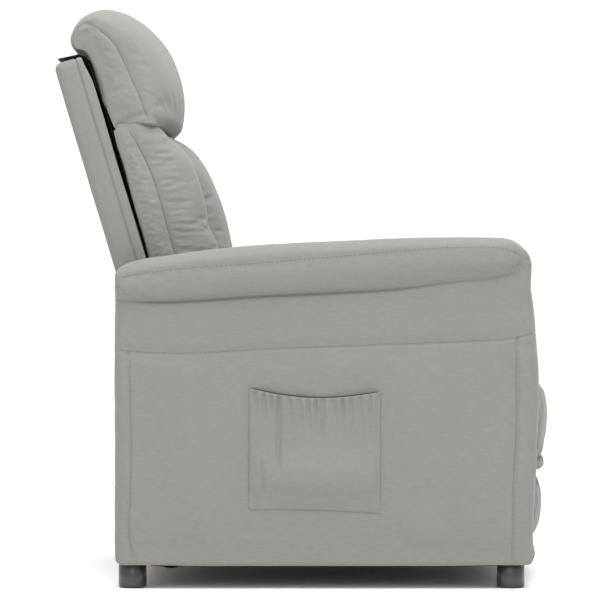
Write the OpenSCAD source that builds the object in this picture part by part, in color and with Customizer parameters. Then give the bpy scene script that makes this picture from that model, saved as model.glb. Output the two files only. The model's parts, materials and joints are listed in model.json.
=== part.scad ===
// Push-back recliner armchair: upholstered arms on four round feet, a seat that glides forward on
// tracks, a back hinged behind the seat and a footrest carried on scissor links under the seat.
// +Z is up, the sitter faces -Y and the origin is on the floor under the middle of the chair.
// The sitter's right is -X.

/* [Overall] */
// Width over the arm pads
chair_w = 700; // [620:5:860]
// Height of the head cushion's crown
chair_h = 970; // [880:5:1180]
// Length of the arms, front to back
arm_l = 692; // [600:2:860]
// Rear face of the arms, measured from the origin
arm_rear_y = 313; // [280:1:380]

/* [Seat] */
// Width of the seat, the back and the footrest
seat_w = 492; // [400:2:560]
// Height of the seat cushion's top
seat_h = 455; // [400:1:550]
// Thickness of the seat cushion
seat_cushion_t = 67; // [50:1:90]
// How far the seat cushion's nose stands out past the arms
seat_nose = 14; // [5:1:30]
// How far the seat glides forward
glide_travel = 90; // [60:5:110]
// Slope of the glide tracks, rising forward
glide_slope = 4; // [0:0.5:6]

/* [Arms] */
// Height of the arm pad's top at its front
arm_h = 573; // [540:1:690]
// Thickness of the arm pad
arm_pad_t = 60; // [45:1:75]
// Slope of the arm pad, rising forward
arm_slope = 4.2; // [0:0.1:6]
// How far the arm's top bows up between its ends
arm_crown = 14; // [0:1:20]
// How far the arm pad overhangs the arm's outer face
pad_overhang = 12; // [9:1:20]
// Thickness of the arms' padding
arm_padding = 9; // [6:1:12]
// Width of the side pocket
pocket_w = 214; // [150:2:260]
// Height of the side pocket
pocket_h = 197; // [140:1:230]
// Room inside the side pocket
pocket_room = 6; // [5:0.5:7]

/* [Back] */
// Lean of the back at rest, from upright
lean = 16.8; // [10:0.1:22]
// Thickness of the upholstered back panel
back_t = 48; // [40:1:60]
// Length of the head cushion along the back
head_l = 226; // [180:1:280]
// Thickness of the back cushion in its middle
lumbar_t = 130; // [100:1:150]

/* [Feet] */
// Height of the feet
foot_h = 40; // [30:1:80]
// Diameter of the feet
foot_d = 46; // [36:1:60]

/* [Hidden] */
$fn = 48;
gap = 1;
steel_t = 3;
pin_r = 4;
running = 0.1;
pin_slack = 0.5;
head_t = 2.5;

// Widths, from the outside in
half_w = chair_w / 2;
seat_half = seat_w / 2;
side_clear = 4;
pad_in = seat_half + side_clear;
arm_in = pad_in + 8;
arm_out = half_w - pad_overhang;
cavity_in = arm_in + arm_padding;
cavity_out = arm_out - arm_padding;
inner_ply_t = 12;
outer_board_t = 4;

// Lengths, from the rear to the front
arm_front_y = arm_rear_y - arm_l;
hinge_y = arm_rear_y - 78;
seat_rear_y = hinge_y - 85;
seat_front_y = arm_front_y - seat_nose;

// Heights, from the floor up
base_z = foot_h;
front_rail_h = 20;
front_rail_z = base_z + 1;
front_rail_t = 24;
front_wrap = 4;
seat_rail_h = 40;
seat_rail_t = 25;
seat_frame_top = seat_h - seat_cushion_t;
seat_frame_z = seat_frame_top - seat_rail_h;
hinge_z = seat_frame_z - 13;
seat_frame_y = [seat_front_y + 30, seat_rear_y - 12];

// Footrest, hanging in front of the seat frame
footrest_gap = 19;
footrest_top = seat_frame_z - footrest_gap;
footrest_z = front_rail_z + front_rail_h + front_wrap + 3;
footrest_l = footrest_top - footrest_z;
footrest_front_y = arm_front_y - 34;
board_t = 12;
board_y = arm_front_y + 29;
board_rear_y = board_y + board_t;
board_edge = 8;
upper_share = 0.47;

// Scissor links: the extension axis rises by scissor_rise towards the front
scissor_rise = 8;
scissor_turn = 34;
// Depth that one folded stage of the scissor takes up behind the footrest
stage = 27.8;
link_r = 11;
link_t = 3;
layer_gap = 1;
axis_u = [-cos(scissor_rise), sin(scissor_rise)];
axis_v = [sin(scissor_rise), cos(scissor_rise)];
// Room between the folded links and the footrest board
link_room = 9.94;
pivot_top_z = seat_frame_z - 58;
link_low_z = front_rail_z + 57;
spread_fold = (pivot_top_z - link_low_z + stage * sin(scissor_rise)) / cos(scissor_rise);
pivot_top = [board_rear_y + link_room + link_r + stage * cos(scissor_rise) + spread_fold * sin(scissor_rise),
    pivot_top_z];
spread_open = norm([spread_fold, stage]) * cos(atan2(stage, spread_fold) + scissor_turn);
// The scissor's pins with the footrest folded in
pivot_low = pivot_top - spread_fold * axis_v;
pivot_low_open = pivot_top - spread_open * axis_v;
end_low = pivot_low + stage * axis_u;
end_top = pivot_top + stage * axis_u;
cross_pin = (pivot_top + end_low) / 2;
outer_pin = pivot_top + 2 * stage * axis_u;
brace_pin = (end_low + outer_pin) / 2;
tube_pin = pivot_top + 0.11 * (end_low - pivot_top);
tube_r = 8;

// Layers across the width: the seat plate, then the links inside it, the back brackets outside it
plate_in = seat_half - 16;
plate_out = plate_in + steel_t;
layer_a = plate_in - layer_gap - link_t;
layer_b = layer_a - layer_gap - link_t;
bracket_in = plate_out + 0.5;
bracket_out = bracket_in + steel_t;
seat_rail_out = plate_in;
stile_in = bracket_in - 26;

// Back, drawn upright from its hinge and then leaned
back_low = 24;
back_cover_t = 6;
slab_top = (chair_h - hinge_z - 78 * sin(lean)) / cos(lean) - 80;
slab_half_t = back_t / 2;
cushion_rear = -slab_half_t - 13;
lining_t = 3;
head_bottom = slab_top + 78 - head_l;
cushion_bottom = (seat_h - hinge_z) / cos(lean) - 20;
frame_front = -slab_half_t + 10;
frame_rear = slab_half_t - back_cover_t;

// Glide tracks and shoes
shoe_l = 50;
shoe_h = 20;
shoe_fit = 0.3;
shoe_neck_h = 10;
track_t = 2.5;
track_in = bracket_out + 2;
front_shoe_y = board_rear_y + 108;
rear_shoe_y = seat_rear_y - 100;
shoe_z = seat_frame_z + 10;

// ---- Shapes that repeat ----

// Points on an arc, ends included
function arc(c, r, from, to, n = 8) =
    [for (i = [0 : n]) let (a = from + (to - from) * i / n) [c[0] + r * cos(a), c[1] + r * sin(a)]];

// Outline of a flat link with round ends at p and q
function link_outline(p, q, r) =
    let (a = atan2(q[1] - p[1], q[0] - p[0]))
    concat(arc(p, r, a + 90, a + 270, 12), arc(q, r, a - 90, a + 90, 12));

// Rectangle with round corners, from low corner to high corner
function round_rect(lo, hi, r) = concat(
    arc([hi[0] - r, lo[1] + r], r, -90, 0), arc([hi[0] - r, hi[1] - r], r, 0, 90),
    arc([lo[0] + r, hi[1] - r], r, 90, 180), arc([lo[0] + r, lo[1] + r], r, 180, 270));

// Smooth open curve through a few points, ends included (Catmull-Rom)
function smooth_at(a, b, c, d, t) = 0.5 * (2 * b + (c - a) * t + (2 * a - 5 * b + 4 * c - d) * t * t
    + (3 * b - a - 3 * c + d) * t * t * t);
function smooth(p, n = 5) = let (k = len(p) - 1) concat(
    [for (i = [0 : k - 1]) for (j = [0 : n - 1])
        smooth_at(p[max(i - 1, 0)], p[i], p[i + 1], p[min(i + 2, k)], j / n)],
    [p[k]]);

// A side outline, drawn as [y, z], made solid from x0 to x1
module side_prism(points, x0, x1) {
    translate([x0, 0, 0])
        rotate([90, 0, 90])
            linear_extrude(x1 - x0) polygon(points);
}

// A front outline, drawn as [x, z], made solid from y0 to y1
module front_prism(points, y0, y1) {
    translate([0, y1, 0])
        rotate([90, 0, 0])
            linear_extrude(y1 - y0) polygon(points);
}

// A round bar along X, through the side view's point p
module cross_bar(p, r, x0, x1) {
    translate([x0, p[0], p[1]])
        rotate([0, 90, 0]) cylinder(r = r, h = x1 - x0);
}

module box(x, y, z) {
    translate([x[0], y[0], z[0]]) cube([x[1] - x[0], y[1] - y[0], z[1] - z[0]]);
}

// side is 1 for the sitter's left, which is +X, and -1 for the right
module on_side(side) {
    if (side < 0) mirror([1, 0, 0]) children();
    else children();
}

module on_both() {
    for (side = [-1, 1]) on_side(side) children();
}

// From the upright drawing of the back to its place behind the seat
module leaned() {
    translate([0, hinge_y, hinge_z]) rotate([-lean, 0, 0]) children();
}

// A rivet along X: a shank with a flat head at its outer end and another at its inner end
module rivet(p, r, x0, x1, head_in = true, head_out = true) {
    cross_bar(p, r, x0, x1);
    if (head_in) cross_bar(p, r + head_t, x0 - 1.5, x0);
    if (head_out) cross_bar(p, r + head_t, x1, x1 + 1.5);
}

// ---- Feet ----

foot_x = (arm_in + arm_out) / 2;
foot_y = [arm_front_y + 43, arm_rear_y - 28];
stud_r = 4;
stud_l = 32;

module foot(side, y) {
    color([0.18, 0.18, 0.18])
        translate([side * foot_x, y, 0])
            rotate_extrude()
                polygon(concat([[0, 0]], arc([foot_d / 2 - 3, 3], 3, -90, 0, 4), [[foot_d / 2, foot_h], [0, foot_h]]));
}

module foot_studs() {
    color("silver")
        for (side = [-1, 1]) for (y = foot_y)
            translate([side * foot_x, y, base_z]) cylinder(r = stud_r, h = stud_l);
}

// ---- Arms ----

function arm_line(y, top) = top + (y - (arm_front_y + 70)) * -tan(arm_slope);
pad_top_rear = arm_line(arm_rear_y, arm_h);
body_top = arm_h - arm_pad_t;
body_top_rear = arm_line(arm_rear_y, body_top);
body_top_front = arm_line(arm_front_y, body_top);
lean_in = 7;

// The arm below its pad, seen from the side
function arm_outline(in) = concat(
    arc([arm_front_y + lean_in + 22 + in, base_z + 22], 22, 270, 180, 6),
    [[arm_front_y + in, base_z + 290], [arm_front_y + lean_in + in, body_top_front - in],
     [arm_rear_y - in, body_top_rear - in]],
    arc([arm_rear_y - 16 - in, base_z + 16], 16, 0, -90, 6));

module arm_cover(side) {
    color([0.62, 0.61, 0.59]) on_side(side) difference() {
        side_prism(arm_outline(0), arm_in, arm_out);
        side_prism(concat([[arm_rear_y - arm_padding, base_z - 5], [arm_front_y + lean_in + arm_padding, base_z - 5],
            [arm_front_y + lean_in + arm_padding, body_top_front - arm_padding],
            [arm_rear_y - arm_padding, body_top_rear - arm_padding]]), cavity_in, cavity_out);
    }
}

post_t = 30;
arm_rail_h = 38;
frame_y = [arm_front_y + lean_in + arm_padding + gap, arm_rear_y - arm_padding - gap];

// The ply and the board on the arm's two faces, inside the cover
module arm_sheet(side, x0, x1) {
    on_side(side) side_prism([[frame_y[0], base_z + gap], [frame_y[1], base_z + gap],
        [frame_y[1], arm_line(frame_y[1], body_top) - arm_padding - gap],
        [frame_y[0], arm_line(frame_y[0], body_top) - arm_padding - gap]], x0, x1);
}

module arm_inner_panel(side) {
    color("burlywood") arm_sheet(side, cavity_in, cavity_in + inner_ply_t);
}

module arm_outer_board(side) {
    color("peru") arm_sheet(side, cavity_out - outer_board_t, cavity_out);
}

module arm_frame(side) {
    x = [cavity_in + inner_ply_t, cavity_out - outer_board_t];
    color("tan") on_side(side) difference() {
        union() {
            for (y = [frame_y[0], frame_y[1] - post_t])
                box(x, [y, y + post_t], [base_z + gap, arm_line(y + post_t, body_top) - arm_padding - 20]);
            box(x, frame_y, [base_z + gap, base_z + gap + arm_rail_h]);
            side_prism([for (p = [[0, -arm_rail_h], [1, -arm_rail_h], [1, 0], [0, 0]])
                [frame_y[p[0]], arm_line(frame_y[p[0]], body_top) - arm_padding - gap + p[1]]], x[0], x[1]);
            box(x, [-post_t / 2, post_t / 2], [base_z + arm_rail_h, arm_line(0, body_top) - arm_padding - 20]);
        }
        for (y = foot_y)
            translate([foot_x, y, base_z - 1]) cylinder(r = stud_r, h = stud_l + 1);
    }
}

nose_r = 46;
// The top of the pad, bowed most behind its middle
function crown_line(y) = arm_line(y, arm_h) + arm_crown * sin(180 * pow((arm_rear_y - y) / arm_l, 0.7));

// The pad on top of the arm, seen from the side
function pad_outline() = concat(
    [[arm_rear_y - 8, body_top_rear + gap], [arm_rear_y, body_top_rear + 14]],
    arc([arm_rear_y - 18, pad_top_rear - 18], 18, 0, 90, 6),
    [for (i = [1 : 9]) let (y = arm_rear_y - 18 - i * (arm_l - 108) / 9) [y, crown_line(y)]],
    arc([arm_front_y + lean_in + nose_r + 2, arm_h - nose_r], nose_r, 85, 180, 10),
    [[arm_front_y + lean_in + 8, body_top_front + gap]]);

module arm_pad(side) {
    r = 22;
    color([0.66, 0.65, 0.63]) on_side(side) intersection() {
        side_prism(pad_outline(), pad_in, half_w);
        front_prism(round_rect([pad_in, body_top_rear - 60], [half_w, arm_h + 4], r), arm_front_y - 5, arm_rear_y + 5);
    }
}

// ---- Side pocket, on the sitter's right ----

pocket_y = 14 - pocket_w / 2;
pocket_z = body_top - pocket_h - 186;
pocket_sheet = 2.5;
pocket_seam = 5;

module side_pocket() {
    depth = pocket_room + pocket_sheet;
    y = [-pocket_y - pocket_w, -pocket_y];
    color([0.61, 0.6, 0.58]) difference() {
        box([-arm_out - depth, -arm_out], y, [pocket_z, pocket_z + pocket_h]);
        box([-arm_out - pocket_room, -arm_out + 1], [y[0] + pocket_seam, y[1] - pocket_seam],
            [pocket_z + pocket_seam, pocket_z + pocket_h + 1]);
    }
}

// ---- Rails between the arms, and the covers over them ----

front_rail_y = arm_front_y + 12;
rear_rail_t = 25;
rear_rail_y = arm_rear_y - 38;
rear_lower_h = 60;
rear_upper_h = 45;
rear_upper_z = hinge_z - 40 - rear_upper_h;

module front_rail() {
    color("tan") box([-arm_in, arm_in], [front_rail_y, front_rail_y + front_rail_t],
        [front_rail_z, front_rail_z + front_rail_h]);
}

module front_rail_cover() {
    y = [front_rail_y - 9, front_rail_y + front_rail_t + front_wrap];
    color([0.6, 0.59, 0.57]) difference() {
        side_prism(round_rect([y[0], front_rail_z - front_wrap], [y[1], front_rail_z + front_rail_h + front_wrap - 1], 6),
            -arm_in, arm_in);
        box([-arm_in - 1, arm_in + 1], [front_rail_y, front_rail_y + front_rail_t],
            [front_rail_z, front_rail_z + front_rail_h]);
    }
}

module rear_rail(z, h) {
    color("tan") box([-arm_in, arm_in], [rear_rail_y, rear_rail_y + rear_rail_t], [z, z + h]);
}

module rear_cover() {
    color([0.6, 0.59, 0.57])
        box([-arm_in, arm_in], [rear_rail_y + rear_rail_t, arm_rear_y - 4], [base_z + gap, rear_upper_z + rear_upper_h + 4]);
}

module dust_cover() {
    color([0.05, 0.05, 0.05])
        box([-arm_in, arm_in], [front_rail_y + front_rail_t + front_wrap, rear_rail_y], [base_z + 2, base_z + 3.5]);
}

bolt_r = 3.5;
// Through each arm's inner ply into the ends of the rails
bolt_holes = [[front_rail_y + front_rail_t / 2, front_rail_z + front_rail_h / 2],
    [rear_rail_y + rear_rail_t / 2, base_z + 20], [rear_rail_y + rear_rail_t / 2, base_z + 50],
    [rear_rail_y + rear_rail_t / 2, rear_upper_z + rear_upper_h / 2]];

module rail_bolts() {
    color("silver") on_both() for (p = bolt_holes)
        rivet(p, bolt_r, arm_in - 40, cavity_in + inner_ply_t - 1.5, head_in = false);
}

// ---- Glide tracks on the arms ----

track_from = [front_shoe_y - glide_travel * cos(glide_slope) - shoe_l / 2 - 6, rear_shoe_y + shoe_l / 2 + 6];
function track_z(y) = shoe_z - (y - front_shoe_y) * tan(glide_slope);
function sloped(y0, y1, low, high) = [[y0, track_z(y0) + low], [y1, track_z(y1) + low],
    [y1, track_z(y1) + high], [y0, track_z(y0) + high]];

module glide_track(side) {
    inner = shoe_h / 2 + shoe_fit / cos(glide_slope);
    color("dimgray") on_side(side) difference() {
        side_prism(sloped(track_from[0], track_from[1], -inner - track_t, inner + track_t), track_in, arm_in);
        side_prism(sloped(track_from[0] - 9, track_from[1] + 9, -inner, inner), track_in - 1, arm_in - track_t);
    }
}

module track_screws() {
    n = 3;
    color("silver") on_both() for (i = [0 : n - 1])
        let (y = track_from[0] + 60 + i * (track_from[1] - track_from[0] - 120) / (n - 1))
            cross_bar([y, track_z(y)], 2, arm_in - track_t, cavity_in + inner_ply_t - 1);
}

module glide_shoes() {
    color("ivory") on_both() for (y = [front_shoe_y, rear_shoe_y]) {
        side_prism(sloped(y - shoe_l / 2, y + shoe_l / 2, -shoe_h / 2, shoe_h / 2), track_in + 1, arm_in - track_t - 1);
        side_prism(sloped(y - 14, y + 14, -shoe_neck_h / 2, shoe_neck_h / 2), plate_out, track_in + 1);
    }
}

// ---- Seat ----

module seat_frame() {
    y = seat_frame_y;
    x = seat_rail_out;
    color("tan") difference() {
        box([-x, x], y, [seat_frame_z, seat_frame_top]);
        box([-x + seat_rail_t, x - seat_rail_t], [y[0] + seat_rail_t, y[1] - seat_rail_t],
            [seat_frame_z - 1, seat_frame_top + 1]);
    }
}

// Rings of points round a path, joined into one closed tube
function ring_points(p, side, up, r, n) = [for (i = [0 : n - 1])
    p + r * (cos(360 * i / n) * side + sin(360 * i / n) * up)];
module tube(path, r, n) {
    k = len(path);
    points = [for (i = [0 : k - 1])
        let (d = path[min(i + 1, k - 1)] - path[max(i - 1, 0)], t = d / norm(d), up = [0, 0, 1], s = cross(t, up))
            each ring_points(path[i], s / norm(s), up, r, n)];
    polyhedron(points, concat([[for (i = [0 : n - 1]) i]], [[for (i = [n - 1 : -1 : 0]) (k - 1) * n + i]],
        [for (j = [0 : k - 2]) for (i = [0 : n - 1])
            [j * n + i, (j + 1) * n + i, (j + 1) * n + (i + 1) % n, j * n + (i + 1) % n]]));
}

spring_r = 1.8;
spring_swing = 22;
spring_waves = 9;
spring_bite = 2;
module seat_springs() {
    y = [seat_frame_y[0] + seat_rail_t - spring_bite, seat_frame_y[1] - seat_rail_t + spring_bite];
    steps = 72;
    color("dimgray") for (i = [-2 : 2])
        translate([i * (seat_rail_out - seat_rail_t) * 0.4, 0, seat_frame_top - 6])
            tube([for (j = [0 : steps]) let (t = j / steps)
                [spring_swing * sin(360 * spring_waves * t), y[0] + (y[1] - y[0]) * t, 0]], spring_r, 6);
}

// Slab with a nose that drops in front of the frame
module seat_cushion() {
    r = 22;
    drop = seat_frame_z + 12;
    color([0.64, 0.63, 0.61]) side_prism(concat(
        [[seat_frame_y[0] - gap, seat_frame_top + 0.2], [seat_frame_y[0] - gap, drop]],
        arc([seat_front_y + 14, drop + 14], 14, 270, 180, 6),
        arc([seat_front_y + r, seat_h - r], r, 180, 90, 8),
        arc([seat_rear_y - 12, seat_h - 12], 12, 90, 0, 6),
        [[seat_rear_y, seat_frame_top + 0.2]]), -seat_half, seat_half);
}

// ---- Seat plates, which carry the hinge, the shoes and the scissor ----

plate_r = 19;
plate_band = [seat_frame_z - 22, seat_frame_top - 2];

module seat_plate(side) {
    y = [seat_front_y + 62, seat_rear_y - 30];
    color("slategray") on_side(side) difference() {
        union() {
            side_prism([[y[0], plate_band[0]], [y[1], plate_band[0]], [y[1], plate_band[1]], [y[0], plate_band[1]]],
                plate_in, plate_out);
            side_prism(link_outline([y[1] - 30, seat_frame_z + 8], [hinge_y, hinge_z], plate_r), plate_in, plate_out);
            side_prism(link_outline([pivot_top[0], plate_band[0] + 20], pivot_low, plate_r), plate_in, plate_out);
        }
        cross_bar(pivot_top, pin_r, plate_in - 1, plate_out + 1);
        cross_bar([hinge_y, hinge_z], pin_r + 1, plate_in - 1, plate_out + 1);
        side_prism(link_outline(pivot_low, pivot_low_open, pin_r + pin_slack), plate_in - 1, plate_out + 1);
        for (p = plate_screw_places()) cross_bar(p, 2.5, plate_in - 1, plate_out + 1);
    }
}

function plate_screw_places() = [for (i = [0 : 3])
    [seat_front_y + 75 + i * (seat_rear_y - seat_front_y - 170) / 3, seat_frame_top - 12]];

module seat_plate_screws() {
    color("silver") on_both() for (p = plate_screw_places()) rivet(p, 2.5, plate_in - 18, plate_out, head_in = false);
}

module lift_pivot_pins() {
    color("silver") on_both() rivet(pivot_top, pin_r, layer_a - 0.3, plate_out);
}

module back_hinge_pins() {
    color("silver") on_both() rivet([hinge_y, hinge_z], pin_r + 1, plate_in, bracket_out + 0.3);
}

// ---- Back ----

cover_half = seat_half;
frame_half = bracket_in;

module back_cover() {
    r = 12;
    color([0.61, 0.6, 0.58]) leaned() difference() {
        side_prism(concat([[-slab_half_t, back_low], [slab_half_t, back_low]],
            arc([slab_half_t - r, slab_top - r], r, 0, 90), [[-slab_half_t + 4, slab_top + 4], [-slab_half_t, slab_top]]),
            -cover_half, cover_half);
        box([-cover_half + back_cover_t, cover_half - back_cover_t], [-slab_half_t + back_cover_t, frame_rear],
            [back_low + back_cover_t, slab_top - back_cover_t - r / 2]);
        for (side = [-1, 1]) on_side(side)
            box([bracket_in - 1, cover_half - back_cover_t], [-17, 17], [back_low - 1, back_low + back_cover_t + 1]);
    }
}

frame_top = slab_top - back_cover_t - 8;
module back_frame() {
    rail_h = 45;
    y = [frame_front, frame_rear];
    z = [back_low + 6, frame_top];
    color("tan") leaned() union() {
        for (side = [-1, 1]) on_side(side) box([stile_in, frame_half], y, z);
        for (low = [z[0] + 16, (z[0] + z[1]) * 0.42, z[1] - rail_h])
            box([-stile_in, stile_in], y, [low, low + rail_h]);
    }
}

web_w = 50;
web_t = 1.5;
web_count = 6;
module back_webbing() {
    color("dimgray") leaned() for (i = [0 : web_count - 1])
        let (z = back_low + 70 + i * (frame_top - back_low - 150) / (web_count - 1))
            box([-frame_half + 2, frame_half - 2], [frame_front - web_t, frame_front], [z, z + web_w]);
}

module cushion_lining() {
    color([0.04, 0.04, 0.04]) leaned()
        box([-seat_half + 6, seat_half - 6], [cushion_rear, cushion_rear + lining_t], [cushion_bottom + 10, slab_top - 8]);
}

// Hooks over the panel's top and holds the cushions
module cushion_flap() {
    t = 2.5;
    top = slab_top + 5.5;
    front = cushion_rear + lining_t;
    color([0.03, 0.03, 0.03]) leaned() side_prism([[front, slab_top - 60], [front + t, slab_top - 60],
        [front + t, slab_top - 2], [-slab_half_t + 2, top], [10, top], [10, top + t], [-slab_half_t + 1, top + t],
        [front, slab_top]], -seat_half + 6, seat_half - 6);
}

module back_cushion() {
    rear = cushion_rear - 0.3;
    front = cushion_rear - lumbar_t;
    top = head_bottom - 3;
    low = cushion_bottom;
    color([0.65, 0.64, 0.62]) leaned() side_prism(smooth([
        [rear, low + 16], [rear - 14, low + 2], [front + 32, low + 8], [front + 6, low + 46],
        [front, (low + top) / 2], [front + 10, top - 80], [front + 34, top - 14], [rear - 60, top],
        [rear - 16, top - 3], [rear, top - 20]]), -seat_half, seat_half);
}

module head_cushion() {
    rear = cushion_rear - 0.3;
    front = cushion_rear - lumbar_t + 3;
    low = head_bottom + 3;
    top = head_bottom + head_l;
    color([0.66, 0.65, 0.63]) leaned() side_prism(smooth([
        [rear, low + 16], [rear - 16, low + 2], [front + 42, low], [front + 12, low + 20],
        [front, low + 0.4 * head_l], [front + 8, low + 0.68 * head_l], [front + 42, top - 24],
        [front + 84, top], [rear + 4, top - 12], [rear + 24, top - 40],
        [rear + 15, top - 62], [rear, slab_top + 10], [rear, slab_top - 4]]),
        -seat_half + 2, seat_half - 2);
}

bolt_places = [[0, 60], [0, 120]];
module back_bracket(side) {
    color("slategray") leaned() on_side(side) difference() {
        side_prism(link_outline([0, 0], [0, 138], 15), bracket_in, bracket_out);
        cross_bar([0, 0], pin_r + 1 + running, bracket_in - 1, bracket_out + 1);
        for (p = bolt_places) cross_bar(p, 3, bracket_in - 1, bracket_out + 1);
    }
}

module back_bracket_bolts() {
    color("silver") leaned() on_both() for (p = bolt_places) rivet(p, 3, bracket_in - 22, bracket_out, head_in = false);
}

// ---- Scissor links under the seat ----

module flat_link(p, q, x0, holes) {
    color("slategray") on_both() difference() {
        side_prism(link_outline(p, q, link_r), x0, x0 + link_t);
        for (h = holes) cross_bar(h[0], h[1], x0 - 1, x0 + link_t + 1);
    }
}

module lift_links() {
    flat_link(pivot_top, end_low, layer_a,
        [[pivot_top, pin_r + running], [cross_pin, pin_r], [end_low, pin_r]]);
}

module cross_links() {
    flat_link(pivot_low, end_top, layer_b,
        [[pivot_low, pin_r], [cross_pin, pin_r + running], [end_top, pin_r]]);
}

module outer_links() {
    flat_link(end_low, outer_pin, layer_b,
        [[end_low, pin_r + running], [brace_pin, pin_r], [outer_pin, pin_r]]);
}

module brace_links() {
    flat_link(end_top, brace_pin, layer_a,
        [[end_top, pin_r + running], [brace_pin, pin_r + pin_slack]]);
}

module torque_tube() {
    color("slategray") difference() {
        cross_bar(tube_pin, tube_r, -layer_a, layer_a);
        cross_bar(tube_pin, tube_r - 1.5, -layer_a - 1, layer_a + 1);
    }
}

module lift_link_rivets() {
    color("silver") on_both() for (p = [cross_pin, end_low])
        rivet(p, pin_r, layer_b - 0.3, layer_a + link_t, head_out = false);
}

module cross_link_rivets() {
    color("silver") on_both() {
        rivet(pivot_low, pin_r, layer_b, plate_out + 0.3, head_in = false);
        rivet(end_top, pin_r, layer_b, layer_a + link_t + 0.3, head_in = false, head_out = false);
    }
}

module outer_link_rivets() {
    color("silver") on_both() for (p = [brace_pin, outer_pin])
        rivet(p, pin_r, layer_b, layer_a + link_t + 0.3, head_in = false, head_out = false);
}

// ---- Footrest ----

flange_w = 24;
flange_z = [outer_pin[1] - 60, footrest_top - board_edge - 4];

module footrest_brackets() {
    x = [layer_a, layer_a + link_t];
    color("slategray") on_both() difference() {
        union() {
            side_prism(link_outline(outer_pin, [board_rear_y + link_r, outer_pin[1]], link_r - 1), x[0], x[1]);
            side_prism([[board_rear_y, outer_pin[1] - 28], [outer_pin[0], outer_pin[1] - link_r + 1],
                [outer_pin[0], outer_pin[1] + link_r - 1], [board_rear_y, outer_pin[1] + 20]], x[0], x[1]);
            box([x[1] - flange_w, x[1]], [board_rear_y, board_rear_y + 2.5], flange_z);
        }
        cross_bar(outer_pin, pin_r + running, x[0] - 1, x[1] + 1);
    }
}

module footrest_screws() {
    color("silver") on_both() for (z = [flange_z[0] + 12, flange_z[1] - 12])
        translate([layer_a + link_t - flange_w + 8, board_y + 3, z]) rotate([-90, 0, 0]) {
            cylinder(r = 2, h = board_t - 3 + 2.5);
            translate([0, 0, board_t - 3 + 2.5]) cylinder(r = 4.5, h = 1.5);
        }
}

module footrest_board() {
    color("burlywood") box([-seat_half + board_edge, seat_half - board_edge], [board_y, board_rear_y],
        [footrest_z + board_edge, footrest_top - board_edge]);
}

// Two channels with a welt between them, over the board's front and edges
module footrest_pad() {
    split = footrest_top - upper_share * footrest_l;
    f = footrest_front_y;
    color([0.63, 0.62, 0.6]) difference() {
        side_prism(concat(
            smooth([[board_y + 2, footrest_top], [board_y - 14, footrest_top - 2], [f + 22, footrest_top - 14],
                [f + 1, (footrest_top + split) / 2 + 10], [f + 6, split + 22], [f + 20, split + 2],
                [f + 14, split - 10], [f + 9, split - 40], [f + 8, (footrest_z + split) / 2 - 8],
                [f + 18, footrest_z + 20], [f + 38, footrest_z + 3], [board_y, footrest_z]], 4),
            [[board_rear_y - 4, footrest_z], [board_rear_y - 4, footrest_top]]), -seat_half, seat_half);
        box([-seat_half + board_edge, seat_half - board_edge], [board_y, board_rear_y + 20],
            [footrest_z + board_edge, footrest_top - board_edge]);
    }
}

// ---- The nodes ----

foot(-1, foot_y[0]);  // foot_front_right
foot(1, foot_y[0]);  // foot_front_left
foot(-1, foot_y[1]);  // foot_rear_right
foot(1, foot_y[1]);  // foot_rear_left
foot_studs();
arm_frame(-1);  // arm_frame_right
arm_frame(1);  // arm_frame_left
arm_inner_panel(-1);  // arm_inner_panel_right
arm_inner_panel(1);  // arm_inner_panel_left
arm_outer_board(-1);  // arm_outer_board_right
arm_outer_board(1);  // arm_outer_board_left
arm_cover(-1);  // arm_cover_right
arm_cover(1);  // arm_cover_left
arm_pad(-1);  // arm_pad_right
arm_pad(1);  // arm_pad_left
side_pocket();
front_rail();
front_rail_cover();
rear_rail(base_z + gap, rear_lower_h);  // rear_lower_rail
rear_rail(rear_upper_z, rear_upper_h);  // rear_upper_rail
rear_cover();
dust_cover();
rail_bolts();
glide_track(-1);  // glide_track_right
glide_track(1);  // glide_track_left
track_screws();
seat_frame();
seat_springs();
seat_cushion();
seat_plate(-1);  // seat_plate_right
seat_plate(1);  // seat_plate_left
seat_plate_screws();
glide_shoes();
lift_pivot_pins();
back_hinge_pins();
back_frame();
back_webbing();
back_cover();
cushion_lining();
cushion_flap();
back_cushion();
head_cushion();
back_bracket(-1);  // back_bracket_right
back_bracket(1);  // back_bracket_left
back_bracket_bolts();
lift_links();
torque_tube();
lift_link_rivets();
cross_links();
cross_link_rivets();
outer_links();
outer_link_rivets();
brace_links();
footrest_brackets();
footrest_screws();
footrest_board();
footrest_pad();
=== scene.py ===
"""Push-back recliner armchair: upholstery, stitching and finishes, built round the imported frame."""

import json
import math

import bmesh
import bpy
import numpy as np
from mathutils import Matrix, Vector, noise
from mathutils.bvhtree import BVHTree
from mathutils.kdtree import KDTree


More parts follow.
